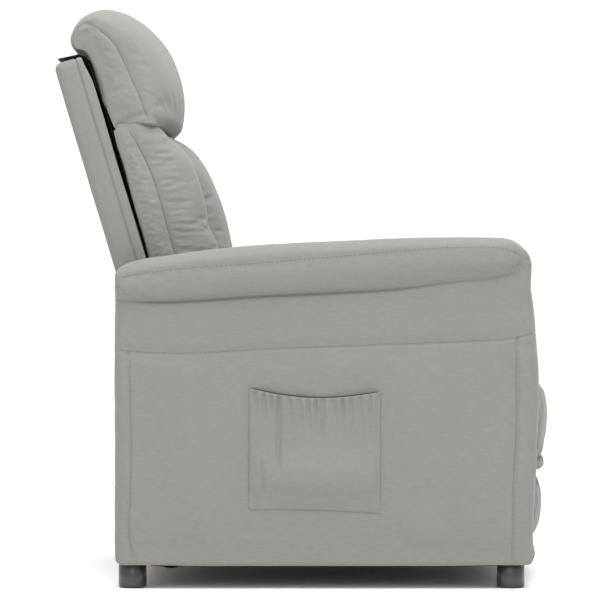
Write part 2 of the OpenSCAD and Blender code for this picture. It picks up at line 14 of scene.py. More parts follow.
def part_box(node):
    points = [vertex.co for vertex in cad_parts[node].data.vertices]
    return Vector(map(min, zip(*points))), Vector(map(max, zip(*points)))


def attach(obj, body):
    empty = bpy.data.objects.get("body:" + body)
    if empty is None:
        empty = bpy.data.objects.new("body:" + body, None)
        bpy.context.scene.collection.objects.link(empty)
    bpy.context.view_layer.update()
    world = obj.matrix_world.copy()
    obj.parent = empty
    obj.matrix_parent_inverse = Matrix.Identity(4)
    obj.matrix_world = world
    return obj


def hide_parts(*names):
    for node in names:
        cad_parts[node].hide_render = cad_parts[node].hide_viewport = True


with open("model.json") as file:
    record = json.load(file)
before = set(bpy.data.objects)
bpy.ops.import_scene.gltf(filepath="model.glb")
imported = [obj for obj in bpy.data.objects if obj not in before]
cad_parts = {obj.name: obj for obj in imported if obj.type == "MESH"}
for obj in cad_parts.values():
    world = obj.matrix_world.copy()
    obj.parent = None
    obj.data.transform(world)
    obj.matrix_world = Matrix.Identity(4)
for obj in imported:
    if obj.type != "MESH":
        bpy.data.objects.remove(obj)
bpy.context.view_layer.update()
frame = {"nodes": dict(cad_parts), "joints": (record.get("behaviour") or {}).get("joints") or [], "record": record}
scene = bpy.context.scene
MM = 0.001

# The chair's own sizes, in metres
SEAT_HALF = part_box("seat_cushion")[1].x
BACK_PANEL_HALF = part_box("back_cover")[1].x
ARM_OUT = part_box("arm_cover_left")[1].x
ARM_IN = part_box("arm_cover_left")[0].x
PAD_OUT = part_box("arm_pad_left")[1].x
PAD_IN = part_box("arm_pad_left")[0].x
LEAN = math.radians(16.8)
HINGE = next(Vector(j["pos_m"]) for j in frame["joints"] if j["name"] == "back_recline")


# ---------- Camera, light and floor ----------

def set_camera():
    """Level with the arm, square to the sitter's right side."""
    data = bpy.data.cameras.new("camera")
    data.lens = 179
    data.sensor_width = 36
    data.clip_end = 60
    camera = bpy.data.objects.new("camera", data)
    camera.location = (-5.2, 0.010, 0.472)
    camera.rotation_euler = (math.radians(90), 0, math.radians(-90))
    scene.collection.objects.link(camera)
    scene.camera = camera


def soft_box(name, place, aim, size, power):
    data = bpy.data.lights.new(name, "AREA")
    data.shape = "RECTANGLE"
    data.size, data.size_y = size
    data.energy = power
    light = bpy.data.objects.new(name, data)
    light.location = place
    light.rotation_euler = (Vector(aim) - Vector(place)).to_track_quat("-Z", "Y").to_euler()
    scene.collection.objects.link(light)


def set_studio():
    world = bpy.data.worlds.new("studio")
    world.use_nodes = True
    world.node_tree.nodes["Background"].inputs["Color"].default_value = (1, 1, 1, 1)
    world.node_tree.nodes["Background"].inputs["Strength"].default_value = 1.05
    scene.world = world
    scene.view_settings.view_transform = "Standard"
    soft_box("top_light", (-1.2, -0.2, 3.4), (0, 0, 0.4), (2.6, 2.6), 170)
    soft_box("side_light", (-3.8, 0.3, 1.9), (0, 0, 0.4), (2.4, 2.4), 26)
    bm = bmesh.new()
    bmesh.ops.create_grid(bm, x_segments=8, y_segments=8, size=7)
    floor = bpy.data.objects.new("floor", mesh_from(bm, "floor"))
    scene.collection.objects.link(floor)
    floor.data.materials.append(FINISH["floor"])


# ---------- Finishes ----------

class Wire:
    """A shader socket that adds its own maths nodes."""

    def __init__(self, board, socket):
        self.board, self.socket = board, socket

    def maths(self, kind, other=None, swap=False):
        first, second = (other, self) if swap else (self, other)
        given = {0: first} if other is None else {0: first, 1: second}
        return self.board.node("ShaderNodeMath", {"operation": kind}, given)

    def __add__(self, other):
        return self.maths("ADD", other)

    def __radd__(self, other):
        return self.maths("ADD", other, True)

    def __sub__(self, other):
        return self.maths("SUBTRACT", other)

    def __rsub__(self, other):
        return self.maths("SUBTRACT", other, True)

    def __mul__(self, other):
        return self.maths("MULTIPLY", other)

    def __rmul__(self, other):
        return self.maths("MULTIPLY", other, True)

    def sine(self):
        return self.maths("SINE")


class Board:
    """The node board of one finish."""

    def __init__(self, name):
        self.material = bpy.data.materials.new(name)
        self.material.use_nodes = True
        self.tree = self.material.node_tree
        self.shader = self.tree.nodes["Principled BSDF"]

    def node(self, kind, settings=None, sockets=None, out=0):
        made = self.tree.nodes.new(kind)
        for key, value in (settings or {}).items():
            setattr(made, key, value)
        for key, value in (sockets or {}).items():
            self.feed(made.inputs[key], value)
        return Wire(self, made.outputs[out])

    def feed(self, socket, value):
        if isinstance(value, Wire):
            self.tree.links.new(value.socket, socket)
        elif isinstance(value, tuple) and len(value) == 3 and socket.type == "RGBA":
            socket.default_value = (*value, 1)
        else:
            socket.default_value = value

    def set(self, **sockets):
        for key, value in sockets.items():
            self.feed(self.shader.inputs[key.replace("_", " ")], value)

    def place(self, out="Object"):
        """Where a spot is on the piece or, with "Normal", the way it faces."""
        return self.node("ShaderNodeTexCoord", out=out)

    def axes(self, out):
        split = self.node("ShaderNodeSeparateXYZ", {}, {"Vector": self.place(out)})
        return [Wire(self, socket) for socket in split.socket.node.outputs]

    def noise(self, scale, detail=2.0, vector=None, roughness=0.5):
        where = vector or self.place()
        return self.node("ShaderNodeTexNoise", {},
                         {"Vector": where, "Scale": scale, "Detail": detail, "Roughness": roughness})

    def mix(self, share, first, second):
        return self.node("ShaderNodeMix", {"data_type": "RGBA"}, {0: share, 6: first, 7: second}, out=2)

    def stretched(self, scale):
        return self.node("ShaderNodeMapping", {}, {"Vector": self.place(), "Scale": scale})

    def bump(self, height, strength, distance):
        given = {"Height": height, "Strength": strength, "Distance": distance}
        self.set(Normal=self.node("ShaderNodeBump", {}, given))


def linear(*colour):
    """A screen colour, 0 to 255, as the shader's own numbers."""
    return tuple(((c / 255 + 0.055) / 1.055) ** 2.4 for c in colour)


def shade(colour, share):
    return tuple(c * share for c in colour)


def woven_cloth(name, colour, thread=0.9 * MM, heather=0.10, bump=0.35, sheen=0.12):
    """Plain weave: threads over and under on each face of the piece, in mottled yarn."""
    board = Board(name)
    across = board.axes("Object")
    turned = board.axes("Normal")
    wave = [(axis * (math.pi / thread)).sine() for axis in across]
    weave = (turned[0] * turned[0] * wave[1] * wave[2] + turned[1] * turned[1] * wave[0] * wave[2]
             + turned[2] * turned[2] * wave[0] * wave[1])
    yarn = board.noise(900, 2.0)
    slub = board.noise(1.0, 1.0, board.stretched((420.0, 70.0, 420.0)))
    cloud = board.noise(7, 3.0)
    light = shade(colour, 1 + heather)
    dark = shade(colour, 1 - heather)
    share = 0.5 + (yarn - 0.5) * 1.3 + (slub - 0.5) * 0.9 + (cloud - 0.5) * 0.4 + weave * 0.18
    board.set(Base_Color=board.mix(share, dark, light), Roughness=0.86 + (yarn - 0.5) * 0.12)
    board.set(Sheen_Weight=sheen, Sheen_Roughness=0.5)
    board.shader.inputs["Specular IOR Level"].default_value = 0.25
    board.bump(weave * 0.5 + yarn * 0.8 + slub * 0.5, bump, 0.35 * MM)
    return board.material


def black_cloth(name, colour=(0.010, 0.010, 0.011)):
    """Pressed non-woven lining with a fine dimple."""
    board = Board(name)
    dimple = board.node("ShaderNodeTexVoronoi", {}, {"Vector": board.place(), "Scale": 520.0})
    fibre = board.noise(300, 4.0)
    board.set(Base_Color=board.mix(fibre, shade(colour, 0.6), shade(colour, 1.9)),
              Roughness=0.78 + (fibre - 0.5) * 0.2)
    board.bump(dimple + fibre * 0.5, 0.4, 0.2 * MM)
    return board.material


def sewing_thread(name, colour):
    board = Board(name)
    twist = board.noise(2600, 1.0)
    board.set(Base_Color=board.mix(twist, shade(colour, 0.75), shade(colour, 1.2)),
              Roughness=0.6 + (twist - 0.5) * 0.2)
    board.bump(twist, 0.4, 0.1 * MM)
    return board.material


def timber(name, early, late, ring=38.0):
    """Sawn wood: long grain along the piece, with darker late wood."""
    board = Board(name)
    grain = board.stretched((1.0, 0.18, 0.35))
    drift = board.noise(6, 3.0, grain)
    given = {"Vector": grain, "Scale": ring, "Distortion": 6.0, "Detail": 3.0, "Detail Scale": 1.5}
    rings = board.node("ShaderNodeTexWave", {"wave_type": "RINGS"}, given)
    pore = board.noise(260, 3.0, grain)
    board.set(Base_Color=board.mix(rings * 0.55 + drift * 0.3 + pore * 0.15, early, late),
              Roughness=0.62 + (pore - 0.5) * 0.25)
    board.bump(rings * 0.3 + pore * 0.7, 0.3, 0.3 * MM)
    return board.material


def pressed_board(name, colour):
    board = Board(name)
    fleck = board.noise(420, 4.0, roughness=0.7)
    board.set(Base_Color=board.mix(fleck, shade(colour, 0.6), shade(colour, 1.3)),
              Roughness=0.7 + (fleck - 0.5) * 0.2)
    board.bump(fleck, 0.25, 0.2 * MM)
    return board.material


def metal(name, colour, roughness, polish=1.0, scratch=0.15):
    """Steel under paint, oil or zinc, with patchy tarnish and fine scratches."""
    board = Board(name)
    streak = board.noise(1.0, 2.0, board.stretched((30.0, 600.0, 600.0)))
    patch = board.noise(26, 4.0)
    tarnish = patch * 0.6 + streak * 0.4
    board.set(Base_Color=board.mix(tarnish, shade(colour, 0.72), shade(colour, 1.2)),
              Roughness=roughness + (streak - 0.5) * scratch + (patch - 0.5) * 0.18, Metallic=polish)
    board.bump(streak * 0.4 + patch * 0.3, 0.12, 0.1 * MM)
    return board.material


def moulded(name, colour, roughness, coat=0.0):
    """Moulded plastic with a faint flow mark and fine grain."""
    board = Board(name)
    flow = board.noise(40, 2.0)
    grain = board.noise(1400, 2.0)
    board.set(Base_Color=board.mix(flow, shade(colour, 0.85), shade(colour, 1.15)),
              Roughness=roughness + (flow - 0.5) * 0.06 + (grain - 0.5) * 0.05)
    board.shader.inputs["Coat Weight"].default_value = coat
    board.shader.inputs["Coat Roughness"].default_value = 0.12
    board.bump(grain, 0.06, 0.05 * MM)
    return board.material


def pale_floor(name):
    board = Board(name)
    speck = board.noise(3, 2.0)
    board.set(Base_Color=board.mix(speck, (0.96, 0.96, 0.96), (0.97, 0.97, 0.97)), Roughness=0.9)
    return board.material


CLOTH = linear(110, 109, 105)
FINISH = {
    "upholstery": woven_cloth("upholstery_weave", CLOTH),
    # the seam thread is about half the cloth's tone: partly the thread's own darker colour, partly painted shade
    # of the seams' dimples
    "thread": sewing_thread("seam_thread_darkened_for_shade", shade(CLOTH, 0.52)),
    "black_cloth": black_cloth("black_lining"),
    "frame_wood": timber("sawn_softwood", (0.52, 0.34, 0.18), (0.36, 0.21, 0.10)),
    "plywood": timber("ply", (0.60, 0.42, 0.25), (0.47, 0.31, 0.17), 22.0),
    "hardboard": pressed_board("hardboard", (0.18, 0.10, 0.055)),
    "mechanism_steel": metal("satin_black_steel", (0.035, 0.035, 0.038), 0.42, 0.6),
    "spring_steel": metal("oiled_spring_wire", (0.20, 0.20, 0.21), 0.35),
    "fastener_zinc": metal("zinc_plate", (0.62, 0.62, 0.66), 0.32),
    "glide_plastic": moulded("glide_nylon", (0.66, 0.64, 0.58), 0.45),
    "foot_plastic": moulded("glossy_black_foot", (0.012, 0.012, 0.013), 0.36, 0.25),
    "floor": pale_floor("studio_floor"),
}


# ---------- Shaping cloth pieces ----------

def smooth_line(*points):
    """A smooth curve through a few (key, value) points, read as value = line(key)."""
    keys, values = np.array(sorted(points), float).T
    slope = np.gradient(values, keys)

    def read(at):
        at = np.clip(at, keys[0], keys[-1])
        i = np.clip(np.searchsorted(keys, at) - 1, 0, len(keys) - 2)
        run = keys[i + 1] - keys[i]
        s = (at - keys[i]) / run
        return (values[i] * (1 + 2 * s) * (1 - s) ** 2 + values[i + 1] * s * s * (3 - 2 * s)
                + run * (slope[i] * s * (1 - s) ** 2 - slope[i + 1] * s * s * (1 - s)))
    return read


def ease(at, start, end):
    """0 before start, 1 after end, smooth between."""
    s = np.clip((at - start) / (end - start), 0, 1)
    return s * s * (3 - 2 * s)


def dip(distance, width):
    """1 on a line, 0 away from it."""
    return np.exp(-(distance / width) ** 2)


def dome(u, v):
    """0 along the edges of a panel, 1 in its middle."""
    return np.sqrt(np.clip(16 * u * (1 - u) * v * (1 - v), 0, 1))


def stations(low, high, step, seams=()):
    """Places for rows of quads: even ones, and close ones beside every seam."""
    near = (-8, -4.5, -2, 0, 2, 4.5, 8)
    marks = {round(s + d * MM, 6) for s in seams for d in near if low < s + d * MM < high} | {low, high}
    marks = sorted(marks)
    full = []
    for a, b in zip(marks, marks[1:]):
        n = max(1, round((b - a) / step))
        full += [a + (b - a) * i / n for i in range(n)]
    return np.array(full + [high])


def cloth_block(name, xs, ys, zs, form):
    """A closed block with rows of quads at the stations, pushed into its form."""
    bm = bmesh.new()
    bmesh.ops.create_cube(bm, size=2)
    for axis, marks in enumerate((xs, ys, zs)):
        along = [e for e in bm.edges if abs(e.verts[0].co[axis] - e.verts[1].co[axis]) > 1]
        bmesh.ops.subdivide_edges(bm, edges=along, cuts=len(marks) - 2, use_grid_fill=True)
    mesh = mesh_from(bm, name)
    at = points_of(mesh)
    index = [np.rint((at[:, k] + 1) / 2 * (len(m) - 1)).astype(int) for k, m in enumerate((xs, ys, zs))]
    set_points(mesh, np.stack(form(*(np.asarray(m)[i] for m, i in zip((xs, ys, zs), index))), 1))
    return put_in(mesh)


def mesh_from(bm, name):
    mesh = bpy.data.meshes.new(name)
    bm.to_mesh(mesh)
    bm.free()
    return mesh


def put_in(mesh):
    """The piece made of a mesh, under the mesh's own name, its faces outwards."""
    turn_out(mesh)
    piece = bpy.data.objects.new(mesh.name, mesh)
    scene.collection.objects.link(piece)
    return piece


def thicken(piece, thick):
    """Gives one layer of cloth its thickness, half to each side."""
    wall = piece.modifiers.new("thickness", "SOLIDIFY")
    wall.thickness = thick
    wall.offset = 0


def grid(cols, rows):
    bm = bmesh.new()
    bmesh.ops.create_grid(bm, x_segments=cols, y_segments=rows, size=1)
    return bm


def noise_over(at, scale, start=(0, 0, 0)):
    """Smooth noise at each point, scaled along each axis."""
    return np.array([noise.noise(Vector(p)) for p in at * np.array(scale) + np.array(start)])


def points_of(mesh):
    at = np.empty(len(mesh.vertices) * 3)
    mesh.vertices.foreach_get("co", at)
    return at.reshape(-1, 3)


def normals_of(mesh):
    at = np.empty(len(mesh.vertices) * 3)
    mesh.vertex_normals.foreach_get("vector", at)
    return at.reshape(-1, 3)


def set_points(mesh, at):
    mesh.vertices.foreach_set("co", np.ascontiguousarray(at, dtype=np.float32).ravel())
    mesh.update()


def turn_out(mesh):
    """Faces point outwards and shade smooth."""
    bm = bmesh.new()
    bm.from_mesh(mesh)
    bmesh.ops.recalc_face_normals(bm, faces=bm.faces)
    bm.to_mesh(mesh)
    bm.free()
    mesh.polygons.foreach_set("use_smooth", [True] * len(mesh.polygons))
    mesh.update()


def bend_between(nominal, knots, places):
    """Moves nominal positions so that each knot lands on its own place, straight between."""
    moved = places[0] + 0 * nominal
    for a, b, pa, pb in zip(knots, knots[1:], places, places[1:]):
        share = np.clip((nominal - a) / (b - a), 0, 1)
        moved = np.where(nominal >= a if b > a else nominal <= a, pa + (pb - pa) * share, moved)
    return moved


def round_corner(p, q, edge_p, edge_q, reach_p, reach_q, way_p=1, way_q=1):
    """Rounds the corner where p reaches edge_p and q reaches edge_q. A way of -1 means the low side."""
    a = np.clip((way_p * (p - edge_p) + reach_p) / reach_p, 0, 1)
    b = np.clip((way_q * (q - edge_q) + reach_q) / reach_q, 0, 1)
    both = (a > 0) & (b > 0)
    return (np.where(both, edge_p + way_p * reach_p * (a * np.sqrt(1 - b * b / 2) - 1), p),
            np.where(both, edge_q + way_q * reach_q * (b * np.sqrt(1 - a * a / 2) - 1), q))


def path(*points):
    """A smooth curve through a few points, read for shares of its length."""
    spots = np.array(points, float)
    run = np.concatenate([[0], np.cumsum(np.linalg.norm(np.diff(spots, axis=0), axis=1))])
    lines = [smooth_line(*zip(run / run[-1], column)) for column in spots.T]
    return lambda share: np.stack([line(np.asarray(share, float)) for line in lines], -1)


def outline(rear, front, low, top):
    """Points inside four (y, z) curves that meet at their ends: u runs to the front, v to the top."""
    def at(u, v):
        a, b = np.asarray(u, float)[..., None], np.asarray(v, float)[..., None]
        corners = ((1 - a) * (1 - b) * rear(0.0) + (1 - a) * b * rear(1.0)
                   + a * (1 - b) * front(0.0) + a * b * front(1.0))
        return (1 - a) * rear(v) + a * front(v) + (1 - b) * low(u) + b * top(u) - corners
    return at


def upright(out, deep, high):
    """From the back's own upright drawing, measured from its hinge, to its place at rest."""
    return (out, HINGE.y + deep * math.cos(LEAN) + high * math.sin(LEAN),
            HINGE.z - deep * math.sin(LEAN) + high * math.cos(LEAN))


def dense(rows, pitch=2 * MM):
    """The rows' lines as points no further apart than pitch."""
    spots = []
    for row in rows:
        row = np.asarray(row, float)
        run = np.concatenate([[0], np.cumsum(np.linalg.norm(np.diff(row, axis=0), axis=1))])
        along = np.linspace(0, run[-1], max(2, int(run[-1] / pitch)))
        spots.append(np.stack([np.interp(along, run, row[:, k]) for k in range(3)], 1))
    return np.concatenate(spots)


def distance_to(piece, rows):
    """How far each of the piece's points is from the nearest row."""
    spots = dense(rows)
    tree = KDTree(len(spots))
    for i, spot in enumerate(spots):
        tree.insert(spot, i)
    tree.balance()
    return np.array([tree.find(p)[2] for p in points_of(piece.data)])


def draw_in(piece, rows, depth, width):
    """Pulls the cloth in along each row, as a seam does."""
    pull = depth * dip(distance_to(piece, rows), width)
    set_points(piece.data, points_of(piece.data) - normals_of(piece.data) * pull[:, None])


def crumple(piece, amount, size, where=None):
    """Soft unevenness of a filled cover, the same every run. where is a weight for each point."""
    at = points_of(piece.data)
    height = np.array([noise.noise(Vector(p) / size) for p in at])
    if where is not None:
        height *= where
    set_points(piece.data, at + normals_of(piece.data) * (amount * height)[:, None])


def swell(piece, sewn, pressure=4.0, slack=0.03, cap=12 * MM, frames=20, stiff=12.0):
    """Blows the piece up like a stuffed cover. Sewn points stay, and no point moves past the cap."""
    start = points_of(piece.data)
    group = piece.vertex_groups.new(name="sewn")
    for level in np.unique(np.round(sewn, 1)):
        if level > 0:
            group.add(np.nonzero(np.round(sewn, 1) == level)[0].tolist(), float(level), "REPLACE")
    cloth = piece.modifiers.new("swell", "CLOTH")
    cloth.settings.use_pressure = True
    cloth.settings.uniform_pressure_force = pressure
    cloth.settings.vertex_group_mass = "sewn"
    cloth.settings.quality = 4
    cloth.settings.mass = 0.25
    cloth.settings.tension_stiffness = cloth.settings.compression_stiffness = stiff
    cloth.settings.bending_stiffness = 0.4
    cloth.settings.shrink_min = -slack
    cloth.settings.effector_weights.gravity = 0
    cloth.collision_settings.use_collision = False
    for number in range(1, frames + 1):
        scene.frame_set(number)
    blown = points_of(piece.evaluated_get(bpy.context.evaluated_depsgraph_get()).data)
    piece.modifiers.remove(cloth)
    piece.vertex_groups.remove(group)
    scene.frame_set(1)
    moved = blown - start
    length = np.linalg.norm(moved, axis=1, keepdims=True)
    moved *= cap * np.tanh(length / cap) / np.maximum(length, 1e-9)
    set_points(piece.data, start + moved)


def finish(piece, body, finish_name, nodes=(), levels=1):
    """Gives a made piece its finish, its body and the frame nodes that it stands for."""
    if levels:
        smooth = piece.modifiers.new("smooth", "SUBSURF")
        smooth.levels = smooth.render_levels = levels
    piece.data.materials.clear()
    piece.data.materials.append(FINISH[finish_name])
    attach(piece, body)
    if nodes:
        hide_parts(*nodes)
    return piece


def sew(name, piece, rows, body, pitch=7.5 * MM, length=5.0 * MM, thick=0.75 * MM):
    """Lays stitches on the piece along each row, a list of points near its surface."""
    surface = BVHTree.FromObject(piece, bpy.context.evaluated_depsgraph_get())
    bm = bmesh.new()
    for row in rows:
        row = np.asarray(row, float)
        step = np.linalg.norm(np.diff(row, axis=0), axis=1)
        run = np.concatenate([[0], np.cumsum(step)])
        for start in np.arange(pitch / 2, run[-1] - length, pitch):
            ends = [Vector([np.interp(s, run, row[:, k]) for k in range(3)]) for s in (start, start + length)]
            hits = [surface.find_nearest(p) for p in ends]
            a, b = hits[0][0], hits[1][0]
            up = (hits[0][1] + hits[1][1]).normalized()
            along = (b - a).normalized()
            side = up.cross(along).normalized()
            turn = Matrix((along, side, along.cross(side))).transposed().to_4x4()
            size = Matrix.Diagonal((length / 2, thick / 2, thick * 0.4, 1))
            bmesh.ops.create_uvsphere(bm, u_segments=6, v_segments=4, radius=1,
                                      matrix=Matrix.Translation((a + b) / 2 + up * 0.1 * MM) @ turn @ size)
    # the stitches' dark thread also paints the shade along each seam
    return finish(put_in(mesh_from(bm, name)), body, "thread", levels=0)


# ---------- Arms ----------

# Side view of an arm: heights in metres for places along it, rear positive
ARM_TOP = smooth_line((0.3125, 0.522), (0.286, 0.533), (0.220, 0.545), (0.127, 0.5565), (-0.071, 0.568),
                      (-0.2335, 0.5735), (-0.3, 0.573), (-0.38, 0.572))
ARM_CREASE = smooth_line((0.3125, 0.4735), (0.258, 0.4705), (0.193, 0.472), (0.096, 0.4785),
                         (-0.039, 0.485), (-0.135, 0.490), (-0.248, 0.503), (-0.315, 0.511),
                         (-0.347, 0.520), (-0.380, 0.535))
ARM_PAD_SEAM = smooth_line((0.304, 0.509), (0.239, 0.519), (0.192, 0.524), (0.096, 0.5305),
                           (-0.031, 0.541), (-0.1215, 0.549), (-0.2205, 0.557), (-0.263, 0.5585),
                           (-0.321, 0.555), (-0.354, 0.5435))
ARM_BAND = smooth_line((0.3125, 0.389), (0.2517, 0.384), (0.1617, 0.384), (0.09, 0.389),
                       (-0.0226, 0.3937), (-0.284, 0.404), (-0.321, 0.406), (-0.3456, 0.410),
                       (-0.38, 0.418))
# Where the arm's ends are at each height
ARM_REAR_SEAM = smooth_line((0.04, 0.279), (0.07, 0.2875), (0.16, 0.2875), (0.244, 0.287), (0.382, 0.290))
ARM_FRONT_SEAM = smooth_line((0.04, -0.3365), (0.05, -0.337), (0.177, -0.339), (0.245, -0.343),
                             (0.286, -0.344), (0.41, -0.344))
ARM_FRONT = smooth_line((0.04, -0.3715), (0.053, -0.3755), (0.073, -0.3712), (0.095, -0.3712),
                        (0.214, -0.3775), (0.335, -0.3795), (0.415, -0.3733), (0.464, -0.3672),
                        (0.4915, -0.3690), (0.53, -0.3725), (0.573, -0.3725))
ARM_LOW = 0.0392
NOSE = 0.050
# Rows of quads that follow the arm's rear, its two upright seams and its front
ARM_ROWS = (0.3125, 0.288, -0.343, -0.379)
ARM_REAR = ARM_ROWS[0]
# Rows that follow its underside, the band seam, the crease and the top
ARM_LEVELS = (0.04, 0.394, 0.488, 0.573)


def arm_form(side):
    """Side panels below, the padded roll above its crease, and the band over the top and down the front."""
    def form(x, y, z):
        level = z
        place = y
        ends_at = (ARM_REAR + 0 * place, ARM_REAR_SEAM(level), ARM_FRONT_SEAM(level), ARM_FRONT(level))
        y = bend_between(place, ARM_ROWS, ends_at)
        out = x * 2 - 1  # -1 on the inner face, 1 on the outer
        between_feet = ease(y, -0.340, -0.20) * (1 - ease(y, 0.16, 0.285))
        low = ARM_LOW - 2.6 * MM * between_feet * (out > 0.9)
        z = bend_between(level, ARM_LEVELS, (low, ARM_BAND(y), ARM_CREASE(y), ARM_TOP(y)))
        edge = np.abs(out) > 0.999
        above = (z - ARM_CREASE(y)) / (ARM_TOP(y) - ARM_CREASE(y))
        rise = np.clip(above / 0.42, 0, 1)
        slack = 0.75 * ease(-y, -0.05, 0.27)
        roll = (1 - slack) * np.sqrt(rise * (2 - rise)) + slack * ease(rise, -0.15, 1)
        ends = 1 - ease(-y, 0.335, 0.372) * 0.9
        outer = ARM_OUT + (PAD_OUT - ARM_OUT) * roll * ends
        inner = ARM_IN - (ARM_IN - PAD_IN) * roll * ends
        fade = (1 - ease(-y, 0.330, 0.362)) * (1 - ease(y, 0.245, 0.300))
        groove = (4.6 * MM - 2.4 * MM * ease(-y, 0.10, 0.30)) * dip(z - ARM_CREASE(y), 2.6 * MM) * fade
        hollow = 0.8 * MM * dip(z - ARM_CREASE(y) + 9 * MM, 13 * MM) * fade
        below = z < ARM_BAND(y) + 0.5 * MM
        upright_seams = (3.2 * MM * dip(y - ARM_FRONT_SEAM(z), 2.2 * MM)
                         + 2.4 * MM * dip(y - ARM_REAR_SEAM(z), 2.2 * MM))
        seams = 1.3 * MM * dip(z - ARM_BAND(y), 2.4 * MM) + below * upright_seams
        seams += 1.4 * MM * dip(z - ARM_PAD_SEAM(y), 2.4 * MM)
        # the panels between the seams are lightly padded
        pillow = (2.0 * MM * (1 - ease(z, 0.34, 0.384)) * ease(z, 0.05, 0.12) * ease(-y, -0.26, -0.20)
                  * (1 - ease(-y, 0.29, 0.333)))
        pull = groove + hollow + seams - pillow
        x = np.where(out > 0, outer - pull, inner + pull * 0.8)
        x = np.where(edge, x, inner + (outer - inner) * (out + 1) / 2)
        top = ARM_TOP(y)
        x, z = round_corner(x, z, outer, top, 24 * MM, 20 * MM)
        x, z = round_corner(x, z, inner, top, 24 * MM, 20 * MM, -1)
        # nose, rear top corner and lower corners, seen from the side
        y, z = round_corner(y, z, ARM_FRONT(0.50), top, NOSE, NOSE, -1)
        y, z = round_corner(y, z, ARM_REAR, top, 9 * MM, 9 * MM)
        y, z = round_corner(y, z, ARM_REAR, ARM_LOW, 9 * MM, 9 * MM, 1, -1)
        y, z = round_corner(y, z, ARM_FRONT(0.04), ARM_LOW, 9 * MM, 9 * MM, -1, -1)
        # upright edges of the front and rear faces
        for way_y, face in ((-1, ARM_FRONT(z)), (1, ARM_REAR)):
            for way_x, wall in ((1, outer), (-1, inner)):
                x, y = round_corner(x, y, wall, face, 9 * MM, 9 * MM, way_x, way_y)
        return side * x, y, z
    return form


def make_arms():
    for side, word in ((-1, "right"), (1, "left")):
        xs = stations(0, 1, 0.16)
        ys = stations(ARM_ROWS[3], ARM_ROWS[0], 8 * MM, ARM_ROWS[1:3])
        zs = stations(ARM_LEVELS[0], ARM_LEVELS[3], 8 * MM, ARM_LEVELS[1:3])
        arm = cloth_block("arm_" + word, xs, ys, zs, arm_form(side))
        at = points_of(arm.data)
        seams = [[(side * ARM_OUT, y, ARM_BAND(y)) for y in np.linspace(0.31, -0.375, 90)],
                 [(side * PAD_OUT, y, ARM_PAD_SEAM(y)) for y in np.linspace(0.31, -0.36, 90)]]
        behind_pocket = ease(at[:, 1], -0.17, -0.12) * (1 - ease(at[:, 1], 0.15, 0.20))
        behind_pocket *= 1 - ease(at[:, 2], 0.33, 0.37)
        held = np.maximum(1 - ease(distance_to(arm, seams), 0.003, 0.016), 1 - ease(at[:, 2], 0.05, 0.09))
        outside = ease(np.abs(at[:, 0]), 0.262, 0.285)
        held = np.maximum(np.maximum(held, behind_pocket), 1 - outside)
        swell(arm, held, cap=1.6 * MM, slack=0.01)
        crumple(arm, 0.8 * MM, 0.09, outside * ease(at[:, 2], 0.045, 0.065))
        # puckers where the crease runs out towards the front, and at the pad's rear corner
        wall = side * ARM_OUT
        draw_in(arm, [[(wall, -0.300, 0.505), (wall, -0.306, 0.497), (wall, -0.304, 0.492)],
                      [(wall, -0.292, 0.500), (wall, -0.300, 0.493)]], 2.4 * MM, 4.0 * MM)
        rear_pucker = [(side * PAD_OUT, 0.3085, 0.496), (side * PAD_OUT, 0.2908, 0.4785)]
        draw_in(arm, [rear_pucker], 1.6 * MM, 3.0 * MM)
        finish(arm, "base", "upholstery", ["arm_cover_" + word, "arm_pad_" + word])
        out = side * PAD_OUT
        seam_y = np.linspace(0.300, -0.352, 120)
        band_y = np.linspace(0.305, -0.372, 120)
        down = np.linspace(0.398, 0.052, 80)
        rows = [[(out, y, ARM_PAD_SEAM(y)) for y in seam_y],
                [(side * ARM_OUT, y, ARM_BAND(y) + 2.2 * MM) for y in band_y],
                [(side * ARM_OUT, ARM_FRONT_SEAM(z) + 2.2 * MM, z) for z in down],
                [(side * ARM_OUT, ARM_REAR_SEAM(z) - 2.2 * MM, z) for z in down if z < 0.38],
                [(out, 0.3085 - 0.0177 * s, 0.496 - 0.0175 * s) for s in np.linspace(0, 1, 8)],
                [(out, -0.3536 + 0.0082 * s, 0.5467 - 0.026 * s) for s in np.linspace(0, 1, 10)]]
        sew("arm_stitching_" + word, arm, rows, "base")


# ---------- Head cushion and back cushion ----------

def stuffed_form(half, middle, end, bulge, waist, round_end=2.6):
    """Side outline `middle` at x = 0, rounding to `end` at the bulging ends; the sides pull in by waist."""
    def form(a, u, v):
        turn = np.abs(a) * math.pi / 2
        full = np.clip(np.cos(turn), 0, 1) ** (2 / round_end)
        out = np.sin(turn) ** (2 / round_end) * (half - waist * np.sin(v * math.pi))
        out += (np.abs(a) > 0.9999) * bulge * dome(u, v)
        side = end(u, v) + (middle(u, v) - end(u, v)) * full[:, None]
        return np.sign(a) * out, side[:, 0], side[:, 1]
    return form


def turn_stations(count):
    """Shares of a quarter turn either way, closer together at the end seams."""
    one_way = [i / count for i in range(count)] + [1 - 0.4 / count, 1]
    return np.array([-t for t in reversed(one_way[1:])] + one_way)


